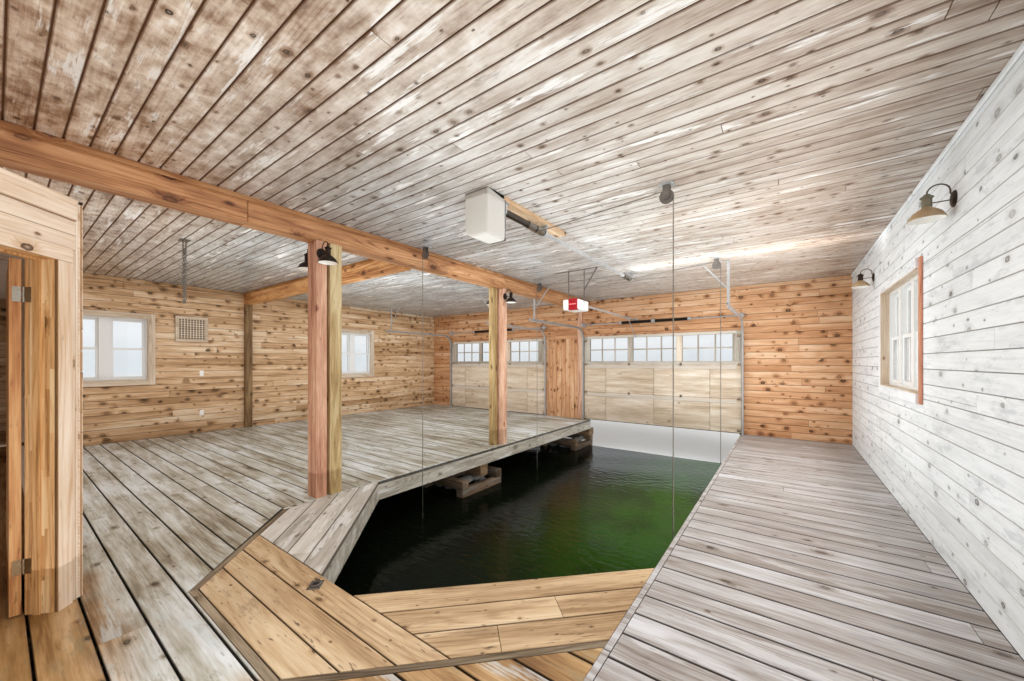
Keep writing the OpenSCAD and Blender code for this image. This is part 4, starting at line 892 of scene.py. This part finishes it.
b = Builder("window_casing_boards", PINE, PALE_PINE, RED_FIR, DOOR_WOOD, TRIM, seed=61)
for middles, kind, face_at, along, inwards, outwards, slots in (
    (LEFT_WINDOWS, TWIN, lambda m, d: (-d[0], m), Y, X, BACK_X, [3] * 5),
    (RIGHT_WINDOWS, TRIPLE, lambda m, d: (d[0], m), Y, BACK_X, X, (2, 1, 1, 1, 3)),
    (LAND_WINDOWS, TWIN, lambda m, d: (m, -d[1]), X, Y, BACK_Y, [3] * 5),
):
    for m in middles:
        inner_face = Frame((*face_at(m, (HALF_W, HALF_D)), kind[2]), along, Z, inwards)
        outer_face = Frame((*face_at(m, (OUT_X, OUT_Y)), kind[2]), along, Z, outwards)
        case_window(b, inner_face, kind, CASING_T, slots)
        case_window(b, outer_face, kind, OUTER_CASING_T, [4] * 5)
b.done(replaces=["window_casings"])

FRAME_BAR, SASH_BAR, MULLION = 0.04, 0.038, 0.10
b = Builder("window_muntins", WHITE_VINYL, seed=62)
part = (TRIPLE[0] - 2 * FRAME_BAR - 2 * MULLION) / 3
sash = TRIPLE[1] / 2 - FRAME_BAR + SASH_BAR / 2
for m in RIGHT_WINDOWS:
    for i in range(3):
        x = m - TRIPLE[0] / 2 + FRAME_BAR + i * (part + MULLION) + part / 2
        for top in (0, 1):
            z = TRIPLE[2] + FRAME_BAR + SASH_BAR + top * (sash - SASH_BAR)
            depth = HALF_W + 0.075 + 0.03 * top
            b.stick((depth - 0.008, x - 0.009, z), (depth + 0.008, x + 0.009, z + sash - 2 * SASH_BAR), 2, 0.003)
b.done()


# Overhead doors: their struts, rollers and hinges
STRUT_IN, STRUT_H, STRUT_D, STRUT_T, LIP_H = 0.09, 0.06, 0.022, 0.006, 0.014
ROLLER_R, ROLLER_T, ROLLER_IN, AXLE_R, AXLE_L = 0.022, 0.011, 0.028, 0.006, 0.1
HINGE_R, HINGE_L = 0.008, 0.06


def overhead_door(node, span, seed):
    b = Builder(node + "_boards", DOOR_WOOD, DOOR_FRAME, PALE_STEEL, BRIGHT_STEEL, RUBBER, seed=seed)
    left, right = span
    front, back, section = DOOR_Y, DOOR_Y + DOOR_T, DOOR_H / 3
    marks = [left] + [left + f * (right - left) for f in (1 / 6, 1 / 2, 5 / 6)] + [right]
    face = Frame((0, front, 0), X, Z, BACK_Y)
    stile = Frame((0, front, 0), Z, X, BACK_Y)
    for i in (0, 1):
        z = DOOR_Z + i * section
        for a, c in zip(marks, marks[1:]):
            b.plank(face, rect(a + 0.0015, z + (0.002 if i else 0.012), c - 0.0015, z + section - 0.002), DOOR_T,
                    0.004, ends=1.0)
    groups = [(left + right - GROUP_W) / 2 + g * GROUP_PITCH for g in (-1, 0, 1)]
    low, high = GROUP_Z, GROUP_Z + GROUP_H
    b.plank(face, rect(left, DOOR_Z + 2 * section + 0.002, right, low), DOOR_T, 0.003, slot=1)
    b.plank(face, rect(left, high, right, DOOR_Z + DOOR_H), DOOR_T, 0.003, slot=1)
    for k, (a, c) in enumerate(zip([left] + [g + GROUP_W for g in groups], groups + [right])):
        b.plank(stile, rect(low, a, high, c), DOOR_T, 0.003, slot=0 if k == 2 else 1)
    pane_w, pane_h = (GROUP_W - 2 * MUNTIN) / 3, (GROUP_H - MUNTIN) / 2
    for g in groups:
        for k in range(3):
            x, middle = g + k * (pane_w + MUNTIN), low + pane_h
            b.stick((x, front + 0.006, middle), (x + pane_w, back - 0.006, middle + MUNTIN), 0, 0.005, slot=1)
            if k:
                b.stick((x - MUNTIN, front + 0.006, low), (x, back - 0.006, high), 2, 0.005, slot=1)
    for z in (DOOR_Z + section - STRUT_IN, DOOR_Z + 2 * section - STRUT_IN, DOOR_Z + DOOR_H - STRUT_H):
        near, far = left + STRUT_IN, right - STRUT_IN
        b.stick((near, front - STRUT_T, z), (far, front, z + STRUT_H), 0, 0.002, slot=2)
        for low_z in (z, z + STRUT_H - LIP_H):
            b.stick((near, front - STRUT_D, low_z), (far, front - 0.005, low_z + LIP_H), 0, 0.003, slot=2)
    for i in (1, 2):
        for f in (1 / 3, 2 / 3):
            x, z = left + f * (right - left), DOOR_Z + i * section
            b.stick((x - 0.022, front - 0.004, z - 0.025), (x + 0.022, front, z + 0.04), 2, 0.001, slot=3)
            b.lathe((x - HINGE_L / 2, front - HINGE_R, z), X,
                    [(0, 0), (HINGE_R, 0.001), (HINGE_R, HINGE_L - 0.001), (0, HINGE_L)], slot=3, segments=16)
    for z in (DOOR_Z + 0.06, DOOR_Z + section, DOOR_Z + 2 * section, DOOR_Z + DOOR_H - 0.11):
        for x, s in ((left, 1), (right, -1)):
            axis = (s, 0, 0)
            wheel = (x - s * ROLLER_IN, front - ROLLER_IN, z)
            b.lathe(wheel, axis, [(0, 0), (ROLLER_R - 0.003, 0), (ROLLER_R, 0.003), (ROLLER_R, ROLLER_T - 0.003),
                                  (ROLLER_R - 0.003, ROLLER_T), (0, ROLLER_T)], slot=2, segments=24)
            b.lathe(wheel, axis, [(0, 0.010), (AXLE_R, 0.010), (AXLE_R, AXLE_L), (0, AXLE_L)], slot=3, segments=16)
            near, far = x + s * 0.02, x + s * 0.075
            b.stick((near, front - 0.042, z - 0.013), (far, front - 0.002, z + 0.013), 0, 0.003, slot=3)
            b.stick((near, front - 0.003, z - 0.028), (far, front, z + 0.028), 2, 0.001, slot=3)
    b.stick((left, front + 0.008, DOOR_Z), (right, back - 0.008, DOOR_Z + 0.016), 0, 0.004, slot=4)
    b.done(replaces=[node], smooth=35)


overhead_door("slip_door", SLIP_DOOR, 71)
overhead_door("bay_door", BAY_DOOR, 72)

# Ridged springs on the shafts over the doors
b = Builder("door_springs", BLACK_STEEL, seed=73)
SHAFT_Y, SHAFT_Z, RIDGE = HALF_D - 0.09, DECK_Z + 2.445, 0.008
for span in (SLIP_DOOR, BAY_DOOR):
    for s in (-1, 1):
        rings = [(0.0325 + (0.0025 if k % 2 else 0), 0.04 + k * RIDGE / 2) for k in range(176)]
        b.lathe(((span[0] + span[1]) / 2, SHAFT_Y, SHAFT_Z), (s, 0, 0), rings, segments=20)
b.done(smooth=50)

# Opener: head, lens, and the rail and hangers of the solid
HEAD = ((1.455, 1.83, 3.058), (1.745, 2.25, 3.234))


def in_head(c, n):
    return all(HEAD[0][a] - 0.03 < c[a] < HEAD[1][a] + 0.012 for a in range(3))


b = Builder("door_opener_parts", WHITE_VINYL, RED_LENS, LENS_HIGHLIGHT, GALVANISED, CHAIN_STEEL, seed=74)
b.copy("door_opener", skip=in_head, pick=lambda c, n: 4 if c.z > HEAD[1][2] + 0.06 else 3)
b.soft_box(*HEAD, 0.03)
b.soft_box((1.570, 1.811, 3.048), (1.730, 1.89, 3.239), 0.012, slot=1)
# Lighter pink stripe across the lens: painted highlight.
b.soft_box((1.582, 1.808, 3.136), (1.718, 1.83, 3.156), 0.004, slot=2)
b.done(replaces=["door_opener"], smooth=40)

# Gooseneck lamps
LAMP_OUT, ARM_Z, ARCH = 0.135, 0.064, 0.0575
NECK = [(0, 0), (0.016, -0.002), (0.024, -0.014), (0.036, -0.020), (0.036, -0.028), (0.028, -0.034), (0.028, -0.096)]
SHADE = [(0.028, -0.096), (0.036, -0.104), (0.056, -0.118), (0.078, -0.138), (0.093, -0.164), (0.100, -0.178),
         (0.100, -0.184), (0.097, -0.184)]
DISH = [(0.097, -0.184), (0.088, -0.166), (0.070, -0.146), (0.048, -0.130), (0.024, -0.120), (0, -0.118)]
BULB = [(0, -0.118), (0.014, -0.120), (0.026, -0.136), (0.027, -0.150), (0.018, -0.166), (0, -0.172)]


def gooseneck(b, x, y, z, side, slots):
    b.lathe((x, y, z), (side, 0, 0), [(0.058, 0), (0.058, 0.006), (0.046, 0.014), (0.018, 0.020), (0, 0.020)])
    arm = [(x + side * d, y, z + h) for d, h in ((0.005, 0.038), (0.014, 0.038), (0.019, 0.043), (0.020, 0.052))]
    for k in range(17):
        a = math.pi * (1 - k / 16)
        arm.append((x + side * (0.02 + ARCH + ARCH * math.cos(a)), y, z + ARM_Z + ARCH * math.sin(a)))
    b.tube(arm, 0.005, slot=slots[0])
    b.tube([(x, y, z - 0.004), (x + side * (LAMP_OUT - 0.02), y, z - 0.004)], 0.004, slot=slots[0])
    for profile, slot in ((NECK, slots[1]), (SHADE, slots[2]), (DISH, 4), (BULB, 4)):
        b.lathe((x + side * LAMP_OUT, y, z + ARM_Z), Z, profile, slot=slot)


b = Builder("gooseneck_lamps", BRONZE, ARM_ENAMEL, OLIVE_ENAMEL, TAN_ENAMEL_AND_REFLECTION, LAMP_WHITE, seed=75)
# The wall lamps' tan shades hold a painted reflection.
gooseneck(b, HALF_W, 0.13, DECK_Z + 2.64, -1, (1, 2, 3))
gooseneck(b, HALF_W, 3.17, DECK_Z + 2.64, -1, (1, 0, 3))
for y in POST_Y:
    gooseneck(b, BEAM_R, y + POST_D / 2, DECK_Z + 2.68, 1, (0, 0, 0))
    gooseneck(b, BEAM_L, y + POST_D / 2, DECK_Z + 2.68, -1, (0, 0, 0))
b.done(replaces=["barn_lamps"], smooth=40)

# Boat lift: plank, drums, shaft and pulleys of the solid, and a cover with rounded edges
LIFT_X, DRUM_Z, COVER_ROUND, COVER_EDGE = 2.30, DECK_Z + 2.955, 0.11, 0.03
COVER = ((2.086, 3.335), (2.364, CEILING_Z), (-1.255, -0.974))


def lift_slot(c, n):
    if c.z > CEILING_Z - 0.0385 and 2.159 < c.x < 2.365 and c.y < 0.26:
        return 1
    away = math.hypot(c.x - LIFT_X, c.z - DRUM_Z)
    if away > 0.2 and c.z < CEILING_Z - 0.03:
        return 4
    return 2 if 0.030 < away < 0.0345 else 0


b = Builder("boat_lift_parts", GALVANISED, PINE, DARK_STEEL, OFF_WHITE, CHAIN_STEEL, seed=76)
b.copy("boat_lift", Frame((0, 0, 0), Y, X, Z), pick=lift_slot, skip=lambda c, n: c.y < COVER[2][1] - 0.0005)
(x0, z0), (x1, z1), (y0, y1) = COVER
curve = [(x0 + COVER_ROUND * (1 - math.sin(a)), z0 + COVER_ROUND * (1 - math.cos(a)))
         for a in (math.pi / 2 * k / 10 for k in range(10, -1, -1))]
corner = [(x1 - COVER_EDGE * (1 - math.sin(a)), z0 + COVER_EDGE * (1 - math.cos(a)))
          for a in (math.pi / 2 * k / 5 for k in range(6))]
b.plank(Frame((0, y0, 0), X, Z, BACK_Y), curve + corner + [(x1, z1), (x0, z1)], y1 - y0, 0.028, both=True, steps=5,
        ends=1.0, slot=3)
b.done(replaces=["boat_lift"], smooth=40)

# Square panel with nine rows of nine holes
PANEL_Y, PANEL_Z, PANEL_T = (-1.69, -1.155), (2.597, 3.12), 0.03
CELLS, HOLE_R, BORDER, GRILLE, BACKING_Z = 9, 0.016, 0.05, 0.024, 0.008
b = Builder("vent_panel_boards", DOOR_WOOD, HOLE_SHADE_PANEL, seed=77)
face = Frame((-HALF_W, PANEL_Y[0], PANEL_Z[0]), Y, Z, X)
width, height = PANEL_Y[1] - PANEL_Y[0], PANEL_Z[1] - PANEL_Z[0]
for piece in (rect(0, 0, width, BORDER), rect(0, height - BORDER, width, height),
              rect(0, BORDER, BORDER, height - BORDER), rect(width - BORDER, BORDER, width, height - BORDER)):
    b.plank(face, piece, PANEL_T, 0.003, front=PANEL_T)
# Near-black sheet behind the holes: painted shade.
b.plank(face, rect(BORDER, BORDER, width - BORDER, height - BORDER), 0.004, 0.001, front=BACKING_Z, slot=1)
cell_w, cell_h = (width - 2 * BORDER) / CELLS, (height - 2 * BORDER) / CELLS
for i in range(CELLS):
    for j in range(CELLS):
        cx, cy = BORDER + (i + 0.5) * cell_w, BORDER + (j + 0.5) * cell_h
        around, hole = [], []
        for x, y in circle(1, 16):
            reach = 1 / max(abs(x), abs(y))
            around.append((cx + cell_w / 2 * reach * x, cy + cell_h / 2 * reach * y))
            hole.append((cx + HOLE_R * x, cy + HOLE_R * y))
        b.loft([[(*p, z) for p in ring] for ring, z in ((around, GRILLE), (hole, GRILLE), (hole, BACKING_Z + 0.001))],
               face, caps=False, tone=0.4, offset=(3, 5, 7))
b.done(replaces=["vent_panel"])

b = Builder("outlet_plates", LAMP_WHITE, seed=78)
for z in (1.94, 1.11):
    b.soft_box((-HALF_W, -1.295, z - 0.058), (-HALF_W + 0.007, -1.225, z + 0.058), 0.0025)
b.done(smooth=40)

# Closet: s runs along its slanted wall, z up, n out of the wall
slant = Frame((*CLOSET, DECK_Z), (HALF, -HALF, 0), Z, (HALF, HALF, 0))
upright = Frame(slant.origin, Z, slant.along, slant.out)
FACING, CASE_L, CASE_R = 0.012, JAMB_NEAR - DOOR_CASING, JAMB_FAR + DOOR_CASING


def sink(p):
    """Moves the slanted wall's face back by the boards' thickness."""
    if abs(slant.local(p)[2]) < 0.001:
        p -= slant.out * FACING
    return p


b = Builder("closet_front_boards", CLOSET_PINE, GAP_SHADE_BACKING, seed=81)
for node in ("closet_front_left", "closet_front_right", "closet_front_header"):
    b.copy(node, slant, move=sink, slot=1)
top = CLOSET_H - 0.0205
b.plank(upright, rect(0, 0.001, top, 0.018), FACING, 0.002)
b.plank(upright, rect(0, 0.0185, DOORWAY_H + DOOR_CASING - 0.001, CASE_L - 0.0005), FACING, 0.002)
b.plank(upright, rect(0, CASE_R + 0.0005, DOORWAY_H + DOOR_CASING, CLOSET_W - 0.001), FACING, 0.002)
b.lay(slant, rect(0.0185, DOORWAY_H + DOOR_CASING, CLOSET_W - 0.001, top), 0.0915, FACING,
      start=DOORWAY_H + DOOR_CASING, bevel=0.002, lengths=(2.0, 3.0))
b.done(replaces=["closet_front_left", "closet_front_right", "closet_front_header"])

for name, seed, axis, face, low, high in (
    ("closet_long", 82, 1, CLOSET[1] + LINING, -HALF_W, CLOSET[0]),
    ("closet_side", 83, 0, CLOSET[0] + CLOSET_W * HALF, -HALF_D, CLOSET[1] - CLOSET_W * HALF),
):
    b = Builder(name + "_boards", CLOSET_PINE, seed=seed)
    along, out = (X, Y) if axis else (Y, X)
    b.copy(name + "_wall", move=lambda p: p - Vector(out) * FACING if abs(p[axis] - face) < 0.001 else p)
    corner = (low, face, DECK_Z) if axis else (face, low, DECK_Z)
    b.lay(Frame(corner, along, Z, out), rect(0, 0, high - low, top), BOARD, FACING, **GROOVED)
    b.done(replaces=[name + "_wall"])

BAND_H, BAND_T, BAND_INSET = 0.134, 0.019, 0.025
b = Builder("closet_top_boards", CLOSET_PINE, seed=84)
b.copy("closet_top", slant, skip=lambda c, n: slant.local(c)[2] > 0.0004)
b.plank(slant, rect(BAND_INSET, CLOSET_H - BAND_H, CLOSET_W - BAND_INSET, CLOSET_H), BAND_T - 0.0006, 0.009,
        front=BAND_T, steps=4, ends=1.0)
b.done(replaces=["closet_top"], smooth=40)


def frame_slot(c, n):
    s, z, out = slant.local(c)
    if out < -CLOSET_T - 0.0005 or (JAMB_NEAR + 0.0002 < s < JAMB_NEAR + 0.01 and out < -0.105):
        return 2
    return 0 if out > 0.0005 else 1


b = Builder("closet_door_frame_boards", CLOSET_PINE, JAMB, BRIGHT_STEEL, seed=85)
b.copy("closet_door_frame", upright, pick=frame_slot, skip=lambda c, n: slant.local(c)[2] > 0.0005)
for piece in (rect(0, CASE_L, DOORWAY_H + 0.0005, JAMB_NEAR), rect(0, JAMB_FAR, DOORWAY_H + 0.0005, CASE_R)):
    b.plank(upright, piece, 0.019, 0.003, front=0.019)
b.plank(slant, rect(CASE_L, DOORWAY_H + 0.001, CASE_R, DOORWAY_H + DOOR_CASING), 0.019, 0.003, front=0.019)
for s, out in ((JAMB_NEAR, slant.along), (JAMB_FAR, -slant.along)):
    b.lay(Frame(slant.at((s, 0, 0)), Z, slant.out, out), rect(0, -CLOSET_T, DOORWAY_H, 0), 0.025, 0.0008,
          front=0.0008, start=-CLOSET_T, gap=0.0003, bevel=0.0004, lengths=(0.25, 0.6), slot=1)
b.done(replaces=["closet_door_frame"], smooth=35)

# Closet door in its place at rest, folded back into the closet
turn = math.radians(-45 - 135)
leaf = Frame((*PIN, DECK_Z), (math.cos(turn), math.sin(turn), 0), (-math.sin(turn), math.cos(turn), 0), Z)


def leaf_slot(c, n):
    x, y, z = leaf.local(c)
    wooden = LEAF[0] - 0.0003 <= x <= LEAF[1] + 0.0003 and LEAF[2] - 0.0003 <= y <= LEAF[3] + 0.0003
    return 0 if wooden else 1


b = Builder("closet_door_leaf", STRIP_PINE, BRIGHT_STEEL, seed=86)
b.copy("closet_door", Frame((*PIN, DECK_Z), Z, leaf.along, leaf.across), pick=leaf_slot)
b.done(body="closet_door", replaces=["closet_door"], smooth=35)

# Roof shingles in courses over a core that lies lower by their thickness
ROOF_TOP = WALL_TOP + ROOF_T
TILT = math.atan(SLOPE)
COURSE, TAB, TAB_T, SINK, SLOPE_L = 0.14, 0.30, 0.0115, 0.0075, EAVE_X / math.cos(TILT)


def lower(p):
    if abs(p.z - ROOF_TOP - (OUT_X - abs(p.x)) * SLOPE) < 0.002:
        p.z -= TAB_T / math.cos(TILT)
    return p


for side, node in ((-1, "roof_left"), (1, "roof_right")):
    b = Builder(node + "_shingles", SHINGLES, SOFFIT_WOOD, GAP_SHADE_BACKING, seed=91 + side)
    b.copy(node, move=lower, pick=lambda c, n: 1 if n.z < -0.5 else 2)
    slope = Frame((side * EAVE_X, 0, ROOF_TOP + (OUT_X - EAVE_X) * SLOPE), Y,
                  (-side * math.cos(TILT), 0, math.sin(TILT)), (side * math.sin(TILT), 0, math.cos(TILT)))
    row = 0
    while row * COURSE < SLOPE_L - 0.03:
        u0, u1 = row * COURSE, min((row + 1) * COURSE + 0.015, SLOPE_L)
        y = -VERGE_Y - TAB * (0.5 if row % 2 else 0) - b.rng.uniform(0, 0.06)
        while y < VERGE_Y:
            ya, yb = max(y + 0.002, -VERGE_Y), min(y + TAB - 0.002, VERGE_Y)
            if yb - ya > 0.02:
                outline = rect(ya, u0, yb, u1)
                top = [(*p, h) for p, h in zip(outline, (0, 0, -SINK, -SINK))]
                b.loft([[(*p, -TAB_T) for p in outline], top], slope)
            y += TAB
        row += 1
    b.done(replaces=[node])

b = Builder("ridge_shingles", SHINGLES, seed=94)
b.copy("ridge_cap")
b.done(replaces=["ridge_cap"])

# Cribs: squared timbers round a fill of stones
CRIB_W, CRIB_BAR = 1.0, 0.14
CRIB_ROWS = (-4.93, -3.30, 1.00, 4.93)
CRIB_SPOTS = [(x, y) for y in CRIB_ROWS for x in (-5.165, -2.62, -0.10, 4.71)] + [(2.09, y) for y in CRIB_ROWS[:2]]
ball = bmesh.new()
bmesh.ops.create_icosphere(ball, subdivisions=2, radius=1)
ball_verts = [v.co.copy() for v in ball.verts]
ball_faces = [[v.index for v in f.verts] for f in ball.faces]
ball.free()
b = Builder("crib_timbers", CRIB_WOOD, STONE, seed=95)
for x, y in CRIB_SPOTS:
    for s in (-1, 1):
        inner, outer = s * (CRIB_W / 2 - CRIB_BAR), s * CRIB_W / 2
        b.stick((x + inner, y - CRIB_W / 2, 0), (x + outer, y + CRIB_W / 2, CRIB_BAR), 1, 0.008)
        b.stick((x - CRIB_W / 2, y + inner, CRIB_BAR), (x + CRIB_W / 2, y + outer, 2 * CRIB_BAR), 0, 0.008)
    for k in range(24):
        a = b.rng.uniform(-0.25, 0.25)
        spot, z = [((a + (k % 3 - 1) * 0.22), s) for s in (-0.26, 0.26)][k // 3 % 2], 0.07 if k < 12 else 0.20
        dx, dy = spot if k < 12 else spot[::-1]
        size = Vector([b.rng.uniform(0.085, 0.12), b.rng.uniform(0.085, 0.12), b.rng.uniform(0.055, 0.065)])
        centre = Vector((x + max(-0.26, min(0.26, dx)), y + max(-0.26, min(0.26, dy)), z))
        seed = Vector((x + k, y, k * 0.7))
        points = []
        for v in ball_verts:
            lump = 1 + 0.22 * noise.noise(v * 1.3 + seed)
            p = Vector([v[i] * size[i] * min(lump, 1.1) for i in range(3)]) + centre
            points.append((p.x, p.y, max(0.0005, p.z)))
        b.add(points, ball_faces, slot=1)
b.done(replaces=["cribs"], smooth=50)

for name, material in (
    ("girders", FRAME_WOOD), ("joists", JOIST_WOOD), ("bay_door_sill", FRAME_WOOD), ("slip_fascia", FASCIA_WOOD),
    ("bargeboards", TRIM), ("eave_fascias", TRIM), ("windows", WHITE_VINYL), ("window_glass", GLASS),
    ("slip_door_tracks", GALVANISED), ("bay_door_tracks", GALVANISED), ("lift_cables", CABLE_STEEL),
    ("chain_hoist", CHAIN_STEEL), ("land_door", LAND_DOOR_WOOD),
):
    dress(name, material)

# Water in the slip and under the deck
WATER_Z, WATER_STEP, WATER_EDGE = 0.03, 0.12, 0.2
b = Builder("slip_water", WATER, seed=61)
cols = int(2 * (OUT_X - WATER_EDGE) / WATER_STEP)
rows = int(2 * (OUT_Y - WATER_EDGE) / WATER_STEP)
points = []
for j in range(rows + 1):
    for i in range(cols + 1):
        x = -OUT_X + WATER_EDGE + 2 * (OUT_X - WATER_EDGE) * i / cols
        y = -OUT_Y + WATER_EDGE + 2 * (OUT_Y - WATER_EDGE) * j / rows
        ripple = 0.003 * math.sin(3.1 * x + 1.7 * y) + 0.002 * math.sin(5.3 * y - 2.2 * x)
        points.append((x, y, WATER_Z + ripple))
faces = [[j * (cols + 1) + i, j * (cols + 1) + i + 1, (j + 1) * (cols + 1) + i + 1, (j + 1) * (cols + 1) + i]
         for j in range(rows) for i in range(cols)]
b.add(points, faces)
b.done(smooth=60)

# Floor, background and lights
floor_mesh = bpy.data.meshes.new("floor")
floor_mesh.from_pydata([(-90, -90, 0), (90, -90, 0), (90, 90, 0), (-90, 90, 0)], [], [(0, 1, 2, 3)])
floor = put("floor", floor_mesh)
floor.location.z = -0.002
floor_mesh.materials.append(plain("pale_floor", "e8e8e6", 0.8, 0.01, 2.0, 0.02))

s = Shader("studio", world=True)
bpy.context.scene.world = s.owner
rays = s.node("LightPath").node.outputs
seen = rays["Is Camera Ray"]
for other in ("Is Glossy Ray", "Is Transmission Ray"):
    seen = s.math("MAXIMUM", seen, rays[other])
sky = s.ramp(s.part(s.place, 2), ((0.012, rgb("e4eaee")), (0.05, rgb("f4f7fa")), (0.2, rgb("fafcfe"))))
s.set(Color=sky, Strength=s.node("MapRange", {"Value": seen, "To Min": 0.72, "To Max": 1.0}))

COOL = (0.92, 0.965, 1.0)
for name, place, towards, size, watts, colour in (
    ("room_up", (0, 0, 0.95), Z, (10, 9.6), 190, COOL),
    ("room_down", (-0.4, 0, 3.70), DOWN, (9.4, 9.6), 235, COOL),
    ("to_lake", (0.8, 0.4, 2.5), (0, 1, 0.2), (8, 2.2), 68, COOL),
    ("from_right", (5.2, 0.5, 2.2), BACK_X, (8, 2.2), 100, COOL),
    ("to_right", (2.0, 0.5, 2.2), X, (8, 2.2), 82, (0.82, 0.94, 1.0)),
    ("to_closet", (3.2, -4.6, 1.9), (-1, 0.15, 0), (1.2, 1.6), 19, COOL),
    ("ceiling_band", (3.7, 2.5, 3.5), Z, (3.2, 0.2), 12, (0.95, 0.98, 1.0)),
    ("ceiling_glow", (2.2, -0.9, 2.9), Z, (2.2, 1.8), 10, (0.92, 0.96, 1.0)),
    ("bay_glow", (-1.3, -0.6, 2.9), Z, (1.6, 4.4), 30, (0.88, 0.96, 1.0)),
):
    light = bpy.data.lights.new(name, "AREA")
    light.shape, light.size, light.size_y = "RECTANGLE", size[0], size[1]
    light.energy, light.color = watts, colour
    lamp = put(name, light)
    lamp.location, lamp.rotation_euler = place, Vector(towards).to_track_quat("-Z", "Y").to_euler()
    lamp.visible_camera = lamp.visible_glossy = lamp.visible_transmission = False
light = bpy.data.lights.new("sun", "SUN")
light.energy, light.angle = 1.3, math.radians(25)
put("sun", light).rotation_euler = Vector((-0.45, 0.55, -0.7)).to_track_quat("-Z", "Y").to_euler()
